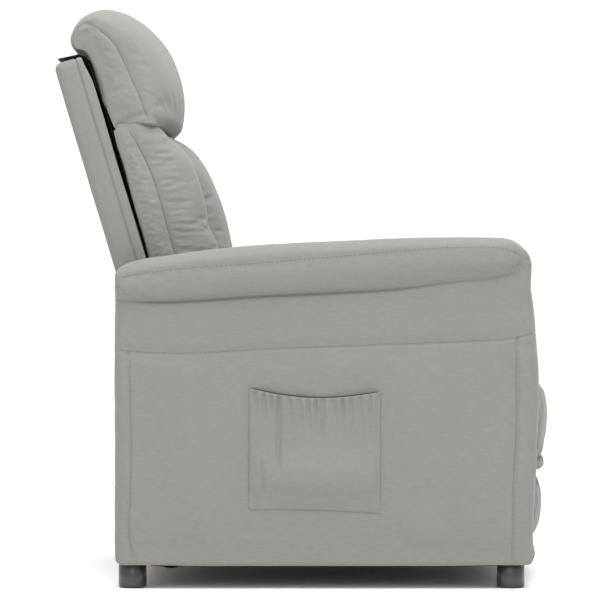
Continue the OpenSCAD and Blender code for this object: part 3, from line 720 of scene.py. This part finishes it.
CLOSE_STITCH = {"pitch": 3.4 * MM, "length": 3.1 * MM, "thick": 1.5 * MM}
HEAD_HALF = 0.2395
HEAD_SEAM = path((0.262, 0.7665), (0.268, 0.786), (0.276, 0.809), (0.286, 0.831), (0.296, 0.854),
                 (0.305, 0.873), (0.322, 0.902), (0.345, 0.922))
HEAD_END = outline(
    path((0.317, 0.7565), (0.326, 0.776), (0.334, 0.800), (0.342, 0.829), (0.350, 0.850), (0.360, 0.873),
         (0.369, 0.886), (0.385, 0.891)),
    HEAD_SEAM,
    path((0.317, 0.7565), (0.297, 0.7670), (0.262, 0.7665)),
    path((0.385, 0.891), (0.387, 0.908), (0.380, 0.924), (0.364, 0.931), (0.345, 0.922)))
HEAD_MIDDLE = outline(
    path((0.321, 0.757), (0.330, 0.785), (0.339, 0.815), (0.348, 0.845), (0.357, 0.873), (0.366, 0.887),
         (0.388, 0.894)),
    path((0.234, 0.7575), (0.2195, 0.770), (0.2155, 0.800), (0.2205, 0.852), (0.2440, 0.907),
         (0.279, 0.944), (0.306, 0.9595)),
    path((0.321, 0.757), (0.275, 0.757), (0.234, 0.7575)),
    path((0.388, 0.894), (0.3945, 0.914), (0.390, 0.937), (0.377, 0.955), (0.3566, 0.9655),
         (0.3387, 0.968), (0.306, 0.9595)))


def make_head_cushion():
    """A roll of fibre over the slab's top edge, with a gusset at each end."""
    form = stuffed_form(HEAD_HALF, HEAD_MIDDLE, HEAD_END, 5 * MM, 3 * MM)
    depths, heights = np.linspace(0, 1, 16), np.linspace(0, 1, 40)
    head = cloth_block("head_cushion_cover", turn_stations(34), depths, heights, form)
    shares = np.linspace(0, 1, 60)
    seams = []
    for side in (-1, 1):
        edge = HEAD_SEAM(shares)
        out = side * (HEAD_HALF - 3 * MM * np.sin(shares * math.pi))
        seams.append(np.column_stack([out, edge]))
    away = distance_to(head, seams)
    lowest = ease(-points_of(head.data)[:, 2], -0.800, -0.768)
    swell(head, np.maximum(1 - ease(away, 0.004, 0.020), lowest), cap=3.2 * MM, slack=0.015)
    crumple(head, 1.2 * MM, 0.055, 1 - lowest)
    # the tuck near the top rear corner, and the creases under the roll
    for side in (-1, 1):
        tuck = [(side * 0.2405, 0.370, 0.934), (side * 0.2405, 0.358, 0.927), (side * 0.2405, 0.352, 0.918)]
        fold = [(side * 0.2405, 0.364, 0.918), (side * 0.2405, 0.358, 0.927)]
        draw_in(head, [tuck, fold], 3 * MM, 5 * MM)
        low_tuck = [(side * 0.241, 0.313, 0.762), (side * 0.243, 0.292, 0.773), (side * 0.240, 0.269, 0.782)]
        draw_in(head, [low_tuck], 4 * MM, 3.5 * MM)
        draw_in(head, [[(side * 0.236, 0.252, 0.776), (side * 0.222, 0.246, 0.766)],
                       [(side * 0.232, 0.268, 0.772), (side * 0.212, 0.262, 0.764)]], 2.4 * MM, 3.5 * MM)
    draw_in(head, seams, 1.5 * MM, 3.0 * MM)
    finish(head, "back", "upholstery", ["head_cushion"])
    sew("head_stitching", head, [row[4:] for row in seams], "back", **CLOSE_STITCH)


BACK_HALF = 0.2405
BACK_TOP = 0.753
# Places across it: the channel's stitch line, and the bolster from its inner side to its crest
CHANNEL = 0.125
BOLSTER_IN = 0.163
BOLSTER_CREST = 0.183
BACK_CREST = smooth_line((0.455, 0.133), (0.475, 0.124), (0.510, 0.121), (0.554, 0.1278), (0.579, 0.133),
                         (0.6206, 0.1435), (0.658, 0.1562), (0.6915, 0.1706), (0.725, 0.1935),
                         (0.742, 0.211), (0.753, 0.229))
BOLSTER = smooth_line((0.455, 0.140), (0.510, 0.138), (0.5644, 0.1511), (0.593, 0.1629), (0.6299, 0.1713),
                      (0.6736, 0.183), (0.7106, 0.1985), (0.735, 0.219), (0.753, 0.241))
BACK_SEAM = smooth_line((0.455, 0.196), (0.545, 0.2166), (0.583, 0.2277), (0.636, 0.2417), (0.680, 0.256),
                        (0.720, 0.2743), (0.753, 0.2942))
BACK_REAR = smooth_line((0.455, 0.2355), (0.538, 0.2585), (0.613, 0.2800), (0.646, 0.2900),
                        (0.688, 0.3005), (0.729, 0.3137), (0.753, 0.3200))


def back_front(out, level):
    """The back cushion's front: a middle lobe, then a channel and a bolster on each side."""
    channel = BOLSTER(level) + 15 * MM
    lobe = channel + (BACK_CREST(level) - channel) * np.sqrt(np.clip(1 - (out / CHANNEL) ** 2.6, 0, 1))
    inner = channel + (BOLSTER(level) - channel) * np.sqrt(
        np.clip(1 - ((BOLSTER_IN - out) / 0.038) ** 2, 0, 1))
    outer = BACK_SEAM(level) + (BOLSTER(level) - BACK_SEAM(level)) * np.sqrt(
        np.clip(1 - ((out - BOLSTER_CREST) / (BACK_HALF - BOLSTER_CREST)) ** 2, 0, 1))
    return np.select([out < CHANNEL, out < BOLSTER_IN, out < BOLSTER_CREST],
                     [lobe, inner, BOLSTER(level)], outer)


def back_form(x, u, v):
    out = np.abs(x)
    low = 0.449 + 0.011 * u
    level = low + (BACK_TOP - low) * v
    front = back_front(out, level) + 1.5 * MM
    y = BACK_REAR(level) + (front - BACK_REAR(level)) * u
    level = level + 13 * MM * ease(v, 0.9, 1) * ease(out, 0.185, 0.215) * ease(u, 0.0, 0.4)
    x = x + np.sign(x) * (out > BACK_HALF - 1e-6) * 5 * MM * dome(u, v)
    return x, y, level


def make_back_cushion():
    degrees = (8, 16, 24, 32, 40, 48, 56, 64, 71, 77, 82, 86, 88.5)
    turns = [BOLSTER_CREST + (BACK_HALF - BOLSTER_CREST) * math.sin(math.radians(t)) for t in degrees]
    middle = [CHANNEL * math.sin(math.radians(t)) for t in range(6, 90, 6)]
    one_way = (middle + [0.1245, 0.1252, 0.127, 0.130, 0.134, 0.139, 0.145, 0.152, 0.160, 0.168, 0.176,
                         BOLSTER_CREST] + turns + [BACK_HALF])
    xs = np.array([-x for x in reversed(one_way)] + [0.0] + one_way)
    back = cloth_block("back_cushion_cover", xs, np.linspace(0, 1, 14), np.linspace(0, 1, 100), back_form)
    high = np.linspace(0.458, 0.752, 140)
    seams = [[(side * BACK_HALF, BACK_SEAM(z), z) for z in high] for side in (-1, 1)]
    channels = [[(side * CHANNEL, BOLSTER(z) + 15 * MM, z) for z in high] for side in (-1, 1)]
    rear = [[(side * BACK_HALF, BACK_REAR(z), z) for z in high] for side in (-1, 1)]
    away = distance_to(back, seams + channels + rear)
    at = points_of(back.data)
    held = np.maximum(1 - ease(away, 0.003, 0.018), ease(at[:, 2], 0.742, 0.750))
    swell(back, held, cap=3.6 * MM, slack=0.035)
    # short pulls that run forward from the side seams
    at = points_of(back.data)
    from_seam = distance_to(back, seams)
    out = np.abs(at[:, 0])
    forward = (at[:, 1] < BACK_SEAM(at[:, 2]) - 2 * MM) * ease(out, 0.180, 0.205)
    drift = noise_over(at, (0, 9, 16))
    patch = np.clip(0.62 + 0.9 * noise_over(at, (0, 26, 40), (7, 0, 0)), 0.15, 1.1)
    wave = np.sin(at[:, 2] * (2 * math.pi / 0.0125) + drift * 7)
    reach = ease(from_seam, 0.003, 0.012) * (1 - ease(from_seam, 0.022, 0.062))
    pulls = 0.85 * MM * wave * reach * forward * patch * ease(at[:, 2], 0.50, 0.53)
    behind = 0.5 * MM * np.sin(at[:, 2] * (2 * math.pi / 0.019) + drift * 9)
    behind *= at[:, 1] > BACK_SEAM(at[:, 2])
    behind *= (1 - ease(from_seam, 0.008, 0.040)) * (out > 0.232) * patch
    set_points(back.data, at + normals_of(back.data) * (pulls + behind)[:, None])
    crumple(back, 1.6 * MM, 0.055)
    joins = [[(side * x, back_front(abs(x), 0.590 - 0.12 * (x - 0.19)) - MM, 0.590 - 0.12 * (x - 0.19))
              for x in np.linspace(0.186, 0.2395, 30)] for side in (-1, 1)]
    draw_in(back, seams, 1.6 * MM, 3.0 * MM)
    draw_in(back, joins, 1.3 * MM, 3.0 * MM)
    draw_in(back, channels, 3.0 * MM, 5.0 * MM)
    finish(back, "back", "upholstery", ["back_cushion"])
    sew("back_cushion_stitching", back, seams, "back", **CLOSE_STITCH)


# ---------- Back panel, its lining and its flap ----------

PANEL_TOP = 0.5598
PANEL_LOW = 0.024
PANEL_HALF_T = 0.024
LIP = 0.011
PANEL_SEAM = 0.231


def panel_form(x, deep, high):
    """The upholstered board behind the cushions: boxed sides, a lip along the front edge, a padded rear."""
    out = np.abs(x) / BACK_PANEL_HALF
    side = out > 0.9999
    along = (high - PANEL_LOW) / (PANEL_TOP - PANEL_LOW)
    padding = 4 * MM * (1 - out ** 6) * np.sin(np.clip(along, 0, 1) * math.pi) ** 0.3
    rear = (deep > PANEL_HALF_T - 1e-6) * padding
    crease = dip(deep + PANEL_HALF_T - LIP, 1.5 * MM)
    top = high > PANEL_TOP - 1e-6
    bulge = 1.6 * MM * np.sin(np.clip((deep + 0.013) / 0.037, 0, 1) * math.pi)
    x = x + np.sign(x) * side * (bulge - 3.4 * MM * crease)
    high = high - top * 3.0 * MM * crease
    swollen = 6.0 * MM * ease(out, 0.80, 0.93) * ease(PANEL_TOP - high, 0.004, 0.05)
    swollen = swollen * (deep < -PANEL_HALF_T + 1e-6)
    for way in (1, -1):
        x, deep = round_corner(x, deep, way * BACK_PANEL_HALF, PANEL_HALF_T, 8 * MM, 8 * MM, way, 1)
        x, deep = round_corner(x, deep, way * BACK_PANEL_HALF, -PANEL_HALF_T, 5 * MM, 5 * MM, way, -1)
        x, high = round_corner(x, high, way * BACK_PANEL_HALF, PANEL_TOP, 10 * MM, 10 * MM, way, 1)
    deep, high = round_corner(deep, high, PANEL_HALF_T, PANEL_TOP, 13 * MM, 13 * MM)
    deep, high = round_corner(deep, high, -PANEL_HALF_T, PANEL_TOP, 5 * MM, 5 * MM, -1)
    return upright(x, deep + rear - swollen, high)


def make_back_panel():
    edge_x = (-0.2425, -0.2385, 0.2385, 0.2425)
    xs = stations(-BACK_PANEL_HALF, BACK_PANEL_HALF, 12 * MM, edge_x)
    deeps = stations(-PANEL_HALF_T, PANEL_HALF_T, 3 * MM, (-PANEL_HALF_T + LIP,))
    highs = stations(PANEL_LOW, PANEL_TOP, 10 * MM, (PANEL_TOP - 6 * MM,))
    panel = cloth_block("back_panel_cover", xs, deeps, highs, panel_form)
    highs_line = np.linspace(0.05, PANEL_TOP - 0.014, 160)
    wide = np.linspace(-PANEL_SEAM, PANEL_SEAM, 120)
    face = PANEL_HALF_T + 2 * MM
    seams = [[upright(side * PANEL_SEAM, face, h) for h in highs_line] for side in (-1, 1)]
    seams += [[upright(x, face, h) for x in wide] for h in (PANEL_TOP - 22 * MM, 0.075)]
    draw_in(panel, seams, 1.6 * MM, 4 * MM)
    crumple(panel, 0.9 * MM, 0.09)
    finish(panel, "back", "upholstery", ["back_cover"])
    sew("back_panel_stitching", panel, seams, "back")


def strip(name, line, half, rows, cols, thick, wave=0.0, hidden=0.0):
    """A cloth strip across the chair that follows a side line in the back's upright drawing.

    The half of it behind the cushions is narrower by `hidden` at each end.
    """
    mesh = mesh_from(grid(cols, rows), name)
    at = points_of(mesh)
    side = line((at[:, 1] + 1) / 2)
    half = half - hidden * (1 - ease(at[:, 1], -0.15, 0.10))
    ripple = wave * noise_over(at, (5, 2, 0), (0, 0, 3))
    set_points(mesh, np.stack(upright(at[:, 0] * half, side[:, 0] + ripple, side[:, 1]), 1))
    made = put_in(mesh)
    thicken(made, thick)
    return made


def make_linings():
    """Black cloth behind the cushions, and the flap that hooks over the panel's top."""
    lining = strip("cushion_backing", path((-0.0355, 0.116), (-0.0355, 0.330), (-0.0355, PANEL_TOP - 0.010)),
                   0.218, 40, 40, 1.2 * MM, 0.6 * MM)
    finish(lining, "back", "black_cloth", ["cushion_lining"], levels=0)
    hook = path((-0.0325, PANEL_TOP - 0.058), (-0.032, PANEL_TOP - 0.020), (-0.0305, PANEL_TOP - 0.003),
                (-0.024, PANEL_TOP + 0.0025), (-0.012, PANEL_TOP + 0.0040), (0.000, PANEL_TOP + 0.0050),
                (0.008, PANEL_TOP + 0.0056), (0.0150, PANEL_TOP + 0.0062))
    flap = strip("panel_flap", hook, 0.240, 44, 48, 1.2 * MM, 0.3 * MM, hidden=20 * MM)
    finish(flap, "back", "black_cloth", ["cushion_flap"], levels=0)


# ---------- Seat ----------

SEAT_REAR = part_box("seat_cushion")[1].y
SEAT_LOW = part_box("seat_frame")[1].z + 0.3 * MM
SEAT_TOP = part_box("seat_cushion")[1].z
SEAT_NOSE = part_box("seat_cushion")[0].y
SEAT_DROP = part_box("seat_cushion")[0].z
FRAME_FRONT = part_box("seat_frame")[0].y
FRAME_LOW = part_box("seat_frame")[0].z


def seat_form(x, y, z):
    """A boxed cushion whose nose rolls down in front of the seat frame."""
    out = np.abs(x) / SEAT_HALF
    nose = SEAT_NOSE + 4 * MM + 15 * MM * out ** 2.2
    fold = FRAME_FRONT - 1.5 * MM
    y = bend_between(y, (SEAT_REAR, fold, SEAT_NOSE), (SEAT_REAR + 0 * y, fold + 0 * y, nose))
    front = y < FRAME_FRONT - 1.4 * MM
    nose_low = FRAME_LOW - 1.5 * MM
    low = np.where(front, nose_low, SEAT_LOW)
    share = (z - SEAT_DROP) / (SEAT_TOP - SEAT_DROP)
    forward = np.clip((SEAT_REAR - y) / (SEAT_REAR - SEAT_NOSE), 0, 1)
    crown = 8 * MM * (1 - out ** 2.5) * np.sin(forward * math.pi) ** 0.6
    rim = SEAT_TOP - 7 * MM
    z = low + (rim - low) * share + crown * share ** 3
    waist = 3 * MM * np.sin(share * math.pi)
    x = x + np.sign(x) * (out > 0.9999) * (waist - 3 * MM)
    y = y - (y < nose + 1e-5) * 3 * MM * np.sin(share * math.pi) * (1 - out ** 4)
    for way in (-1, 1):
        x, z = round_corner(x, z, way * (SEAT_HALF - 1.5 * MM), rim + crown, 14 * MM, 12 * MM, way, 1)
    y, z = round_corner(y, z, nose, rim + crown, 26 * MM, 24 * MM, -1, 1)
    y, z = round_corner(y, z, SEAT_REAR, rim + crown, 14 * MM, 12 * MM, 1, 1)
    y, z = round_corner(y, z, nose, nose_low, 10 * MM, 12 * MM, -1, -1)
    return x, y, z


def make_seat():
    ys = np.array(sorted([*np.linspace(FRAME_FRONT, SEAT_REAR, 56), FRAME_FRONT - 1.5 * MM,
                          *np.linspace(SEAT_NOSE, FRAME_FRONT - 3 * MM, 9)]))
    zs = np.linspace(SEAT_DROP, SEAT_TOP, 16)
    seat = cloth_block("seat_cover", stations(-SEAT_HALF, SEAT_HALF, 9 * MM), ys, zs, seat_form)
    at = points_of(seat.data)
    held = np.maximum(ease(-at[:, 2], -SEAT_LOW - 12 * MM, -SEAT_LOW - 4 * MM), ease(at[:, 1], 0.12, 0.14))
    piping = [[(side * (SEAT_HALF - 4 * MM), y, SEAT_TOP - 8 * MM) for y in np.linspace(-0.35, 0.145, 120)]
              for side in (-1, 1)]
    swell(seat, held, cap=5 * MM, slack=0.03)
    crumple(seat, 1.8 * MM, 0.07, 1 - held)
    fold = [[(x, -0.330, SEAT_TOP + 3 * MM) for x in np.linspace(-0.232, 0.232, 120)]]
    draw_in(seat, piping, 1.8 * MM, 3.5 * MM)
    draw_in(seat, fold, 2.2 * MM, 5.0 * MM)
    finish(seat, "seat", "upholstery", ["seat_cushion"])
    sew("seat_stitching", seat, piping + fold, "seat")


# ---------- Footrest ----------

FOOT_HALF = 0.2440
ROLL_LEVEL = 0.1985
BOARD_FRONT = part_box("footrest_board")[0].y
BOARD_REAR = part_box("footrest_board")[1].y
UPPER_FRONT = smooth_line((0.205, -0.399), (0.213, -0.4034), (0.233, -0.4074), (0.257, -0.411),
                          (0.279, -0.4122), (0.306, -0.4087), (0.325, -0.4015), (0.3325, -0.390),
                          (0.336, -0.368))
LOWER_FRONT = smooth_line((0.066, -0.382), (0.080, -0.393), (0.107, -0.400), (0.137, -0.402),
                          (0.165, -0.3995), (0.180, -0.393), (0.190, -0.380))


def pad_form(front, low, top):
    """A padded channel of the footrest, fullest in the middle, sewn flat to the board behind."""
    def form(a, u, v):
        turn = np.abs(a) * math.pi / 2
        full = np.clip(np.cos(turn), 0, 1) ** 0.5
        x = np.sign(a) * np.sin(turn) ** 0.8 * FOOT_HALF
        z = low + (top - low) * v
        rear = BOARD_REAR - 5 * MM
        end = rear + (front(z) - rear) * 0.62
        bow = front(z) + 12.5 * MM * np.clip(np.abs(x) / 0.2, 0, 1.3) ** 2.2
        y = rear + (end + (bow - end) * full - rear) * u
        return x, y, z
    return form


def make_footrest():
    pads = (("footrest_upper_pad", UPPER_FRONT, ROLL_LEVEL, 0.336),
            ("footrest_lower_pad", LOWER_FRONT, 0.066, 0.1965))
    depths, heights = np.linspace(0, 1, 10), np.linspace(0, 1, 34)
    for name, front, low, top in pads:
        pad = cloth_block(name, turn_stations(34), depths, heights, pad_form(front, low, top))
        at = points_of(pad.data)
        from_edge = np.minimum(at[:, 2] - low, top - at[:, 2])
        on_board = ease(at[:, 1], BOARD_FRONT - 12 * MM, BOARD_FRONT - 4 * MM)
        held = np.maximum(on_board, 1 - ease(from_edge, 0.002, 0.010))
        swell(pad, held, cap=4 * MM, slack=0.05)
        crumple(pad, 1.4 * MM, 0.04, 1 - held)
        # gathers at the inner edge, where the pad is drawn to the roll
        edge = low if name == "footrest_upper_pad" else top
        at = points_of(pad.data)
        near = 1 - ease(np.abs(at[:, 2] - edge), 0.004, 0.040)
        gather = np.sin(at[:, 0] * (2 * math.pi / 0.021) + 5 * noise_over(at, (14, 0, 9)))
        set_points(pad.data, at + normals_of(pad.data) * (1.3 * MM * near * gather * (1 - held))[:, None])
        finish(pad, "footrest", "upholstery", ["footrest_pad"] if name == "footrest_upper_pad" else [])
    make_footrest_roll()


def make_footrest_roll():
    """The gathered roll between the two pads, twice pinched along its length."""
    bm = bmesh.new()
    bmesh.ops.create_cone(bm, cap_ends=True, segments=20, radius1=1, radius2=1, depth=2)
    along = [e for e in bm.edges if abs(e.verts[0].co.z - e.verts[1].co.z) > 1]
    bmesh.ops.subdivide_edges(bm, edges=along, cuts=140, use_grid_fill=True)
    mesh = mesh_from(bm, "footrest_roll")
    at = points_of(mesh)
    x = at[:, 2] * (FOOT_HALF - 2 * MM)
    turn = np.arctan2(at[:, 1], at[:, 0])
    wander = noise_over(np.outer(x, (20, 0, 0)), 1)
    gather = 1 + 0.12 * np.sin(x * 2 * math.pi / 0.017 + 3 * wander)
    pinch = np.minimum(1.0, np.sqrt(np.clip(1 - np.abs(at[:, 2]) ** 12, 0, 1)) + 0.12) * gather
    facing = np.abs(np.arctan2(np.sin(turn - math.pi), np.cos(turn - math.pi)) + 0.1)
    lobes = 1 - 0.16 * dip(facing, 0.34)
    bow = 11.5 * MM * (np.abs(x) / 0.2) ** 2.2
    set_points(mesh, np.stack([x, -0.3985 + bow + 10.5 * MM * pinch * lobes * np.cos(turn),
                               ROLL_LEVEL + 9.0 * MM * pinch * np.sin(turn)], 1))
    roll = finish(put_in(mesh), "footrest", "upholstery")


# ---------- Covers between the arms ----------

def make_apron():
    """The front rail's cover, a soft roll under the footrest."""
    low, high = 0.031, 0.0655
    line = smooth_line((0.031, -0.358), (0.036, -0.366), (0.0455, -0.3715), (0.056, -0.3720),
                       (0.0655, -0.3700))

    def form(x, u, v):
        z = low + (high - low) * v
        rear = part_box("front_rail_cover")[1].y
        front = line(z) - 5 * MM * (1 - (np.abs(x) / ARM_IN) ** 2)
        droop = 1.5 * MM * np.sin(x * 31) * (1 - v)
        return x, rear + (front - rear) * u, z + droop + 9 * MM * (1 - u) * (1 - v)

    wide = np.linspace(-ARM_IN - 1.5 * MM, ARM_IN + 1.5 * MM, 70)
    apron = cloth_block("apron_roll", wide, np.linspace(0, 1, 10), np.linspace(0, 1, 14), form)
    at = points_of(apron.data)
    swell(apron, ease(at[:, 1], -0.350, -0.342), cap=2 * MM, slack=0.04)
    crumple(apron, 1.5 * MM, 0.035)
    finish(apron, "base", "upholstery", ["front_rail_cover"])


def make_rear_cover():
    low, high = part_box("rear_cover")
    rail_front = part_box("rear_upper_rail")[0].y

    def form(x, u, v):
        over = v > 0.96
        z = low.z + (high.z - low.z) * v + over * (1.0 * MM + 2.2 * MM * (v > 0.999))
        full = 3.0 * MM * (1 - np.abs(x / ARM_IN) ** 8) * np.clip(np.sin(v * math.pi), 0, 1) ** 0.4
        inside = np.where(over, rail_front - 1.5 * MM, low.y)
        y = inside + (high.y - inside) * u + full * (u > 0.999)
        y, z = round_corner(y, z, high.y, high.z + 3.2 * MM, 5 * MM, 5 * MM)
        return x, *round_corner(y, z, high.y, low.z, 4 * MM, 5 * MM, 1, -1)

    wide = np.linspace(-ARM_IN, ARM_IN, 60)
    cover = cloth_block("rear_cover_panel", wide, np.linspace(0, 1, 5), np.linspace(0, 1, 40), form)
    hem = [[(x, high.y + 2 * MM, level) for x in np.linspace(-0.250, 0.250, 120)]
           for level in (low.z + 14 * MM, high.z - 12 * MM)]
    draw_in(cover, hem, 1.4 * MM, 3.5 * MM)
    crumple(cover, 0.8 * MM, 0.07)
    finish(cover, "base", "upholstery", ["rear_cover"])
    sew("rear_cover_stitching", cover, hem, "base")


def make_dust_cover():
    """Black cloth tacked under the frame, cut away round the feet, slack near the rear right foot."""
    half, front, rear = 0.329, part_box("dust_cover")[0].y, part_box("dust_cover")[1].y
    bm = grid(94, 88)
    for v in bm.verts:
        x, y = v.co.x * half, front + (v.co.y + 1) / 2 * (rear - front)
        between = 1 - ease(abs(x), ARM_IN - 0.012, ARM_IN - 0.002)
        sag = 2.5 * MM * math.cos(min(1.0, abs(x) / ARM_IN) * math.pi / 2)
        sag *= math.cos(y / (rear - front) * math.pi * 0.9)
        slack = 4.2 * MM * math.exp(-((y - 0.221) / 0.013) ** 2) * ease(-x, 0.300, 0.326)
        v.co = (x, y, 0.0384 + between * 4.0 * MM - between * sag - slack)
    cut = [f for f in bm.faces if abs(f.calc_center_median().x) > ARM_IN - 0.002
           and not front + 0.030 < f.calc_center_median().y < rear - 0.022]
    bmesh.ops.delete(bm, geom=cut, context="FACES")
    area = sum(f.calc_area() for f in bm.faces)
    cloth = put_in(mesh_from(bm, "dust_cloth"))
    thicken(cloth, 0.9 * MM)
    finish(cloth, "base", "black_cloth", ["dust_cover"], levels=0)


# ---------- Side pocket ----------

POCKET_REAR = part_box("side_pocket")[1].y
POCKET_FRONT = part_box("side_pocket")[0].y
POCKET_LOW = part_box("side_pocket")[0].z


def make_pocket():
    """A slack pocket sewn to the arm on three sides, its mouth gathered into a hem."""
    bm = grid(150, 76)
    mouth = smooth_line((0.0, 0.3285), (0.25, 0.3175), (0.52, 0.3125), (0.78, 0.3155), (1.0, 0.3225))
    bottom = smooth_line((0.0, 0.1305), (0.5, 0.1300), (1.0, 0.1245))
    # place across, lowest and highest point, and depth in mm of each long fold
    long_folds = ((0.215, 0.36, 1.0, 3.4), (0.545, 0.66, 1.0, 2.8), (0.085, 0.10, 0.40, 2.4),
                  (0.66, 0.78, 0.95, 1.6))
    for v in bm.verts:
        across, up = (v.co.x + 1) / 2, (v.co.y + 1) / 2
        y = POCKET_REAR + (POCKET_FRONT - POCKET_REAR) * across
        z = bottom(across) + (mouth(across) - bottom(across)) * up
        edge = min(across, 1 - across) / 0.06
        belly = min(1.0, edge) ** 0.6 * min(1.0, up / 0.20) ** 0.8
        deep = belly * (5.5 + 8.0 * math.exp(-((up - 0.30) / 0.19) ** 2) * math.sin(math.pi * across) ** 0.5)
        wander = noise.noise(Vector((across * 6, up * 1.2, 1)))
        gather = math.sin(across * 2 * math.pi * 15 + 2.6 * wander + 0.5 * up)
        gather *= math.exp(-((1 - up) * 4.4) ** 1.5)
        gather *= min(1.0, (1 - up) / 0.030) * (0.8 + 0.8 * noise.noise(Vector((across * 9, 0, 5))))
        folds = sum(depth * math.exp(-((across - place - 0.02 * (1 - up)) / 0.019) ** 2)
                    * float(ease(up, start - 0.1, start + 0.1))
                    * float(1 - ease(up, stop - 0.06, stop + 0.06))
                    for place, start, stop, depth in long_folds)
        slump = 2.4 * noise.noise(Vector((across * 3.1, up * 2.6, 9))) * belly
        hem = 0.8 * math.exp(-((1 - up) / 0.024) ** 4)
        out = 2.8 + max(deep + hem + (2.9 * gather - 1.3 * folds) * belly + slump, 1.8 * belly)
        v.co = (-ARM_OUT - out * MM, y, z)
    pocket = put_in(mesh_from(bm, "pocket_cloth"))
    thicken(pocket, 1.3 * MM)
    finish(pocket, "base", "upholstery", ["side_pocket"])
    wall = -ARM_OUT - 2 * MM
    rows_sewn = [[(wall, POCKET_REAR - 2.5 * MM, z) for z in np.linspace(0.134, 0.322, 60)],
                 [(wall, POCKET_FRONT + 2.5 * MM, z) for z in np.linspace(0.128, 0.318, 60)],
                 [(wall, POCKET_REAR + (POCKET_FRONT - POCKET_REAR) * s, bottom(s) + 2.5 * MM)
                  for s in np.linspace(0.01, 0.99, 70)]]
    sew("pocket_stitching", pocket, rows_sewn, "base", thick=0.6 * MM)
    # a black sheet behind the mouth paints the shade in the pocket's opening
    make_pocket_mouth_shade_sheet(mouth, bottom)


def make_pocket_mouth_shade_sheet(mouth, bottom):
    """A black sheet just behind the pocket's mouth, painted shade: its top edge stands in for the shadow line
    where the mouth sags away from the arm.
    """
    bm = grid(60, 30)
    for v in bm.verts:
        across, up = (v.co.x + 1) / 2, (v.co.y + 1) / 2
        top = mouth(across) + 2.0 * MM * math.sin(math.pi * across) ** 0.6
        y = POCKET_REAR - 4 * MM + (POCKET_FRONT - POCKET_REAR + 8 * MM) * across
        v.co = (-ARM_OUT - 2.5 * MM, y, bottom(across) + 4 * MM + (top - bottom(across) - 4 * MM) * up)
    # painted shade: the black cloth's edge above the mouth stands in for the mouth's shadow line
    lining = put_in(mesh_from(bm, "pocket_mouth_painted_shade"))
    thicken(lining, 0.8 * MM)
    finish(lining, "base", "black_cloth", levels=0)


# ---------- Feet ----------

def make_feet():
    """Moulded feet: a glossy barrel with a shadow line under the arm, a rounded toe and a recessed sole."""
    # half the foot's side view, in mm, as drawn for this radius and height
    drawn_radius, drawn_height = 23, 40
    side = [(0, 2.0), (13.5, 2.0), (15, 1.2), (16, 0), (19.2, 0), (20.8, 0.5), (22.2, 1.8), (23.0, 4.0),
            (23.0, 36.6), (22.5, 37.3), (22.5, 38.4), (23.0, 39.0), (22.8, 40.0), (0, 40.0)]
    for end in ("front", "rear"):
        for word in ("right", "left"):
            low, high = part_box(f"foot_{end}_{word}")
            middle, radius, height = (low + high) / 2, (high.x - low.x) / 2, high.z
            bm = bmesh.new()
            verts = [bm.verts.new((r * radius / drawn_radius, 0, z * height / drawn_height)) for r, z in side]
            edges = [bm.edges.new(pair) for pair in zip(verts, verts[1:])]
            bmesh.ops.spin(bm, geom=verts + edges, axis=(0, 0, 1), cent=(0, 0, 0), steps=56,
                           angle=2 * math.pi, use_merge=True)
            bmesh.ops.remove_doubles(bm, verts=bm.verts, dist=0.00002)
            bmesh.ops.translate(bm, verts=bm.verts, vec=(middle.x, middle.y, 0))
            foot = put_in(mesh_from(bm, f"moulded_foot_{end}_{word}"))
            finish(foot, "base", "foot_plastic", [f"foot_{end}_{word}"], levels=0)


set_camera()
set_studio()
make_arms()
make_head_cushion()
make_back_cushion()
make_back_panel()
make_linings()
make_seat()
make_footrest()
make_apron()
make_rear_cover()
make_dust_cover()
make_pocket()
make_feet()

slots = {part["node"]: part["material_slot"] for part in frame["record"]["subparts"]}
for node, piece in frame["nodes"].items():
    if not piece.hide_render:
        piece.data.materials.clear()
        piece.data.materials.append(FINISH[slots[node]])
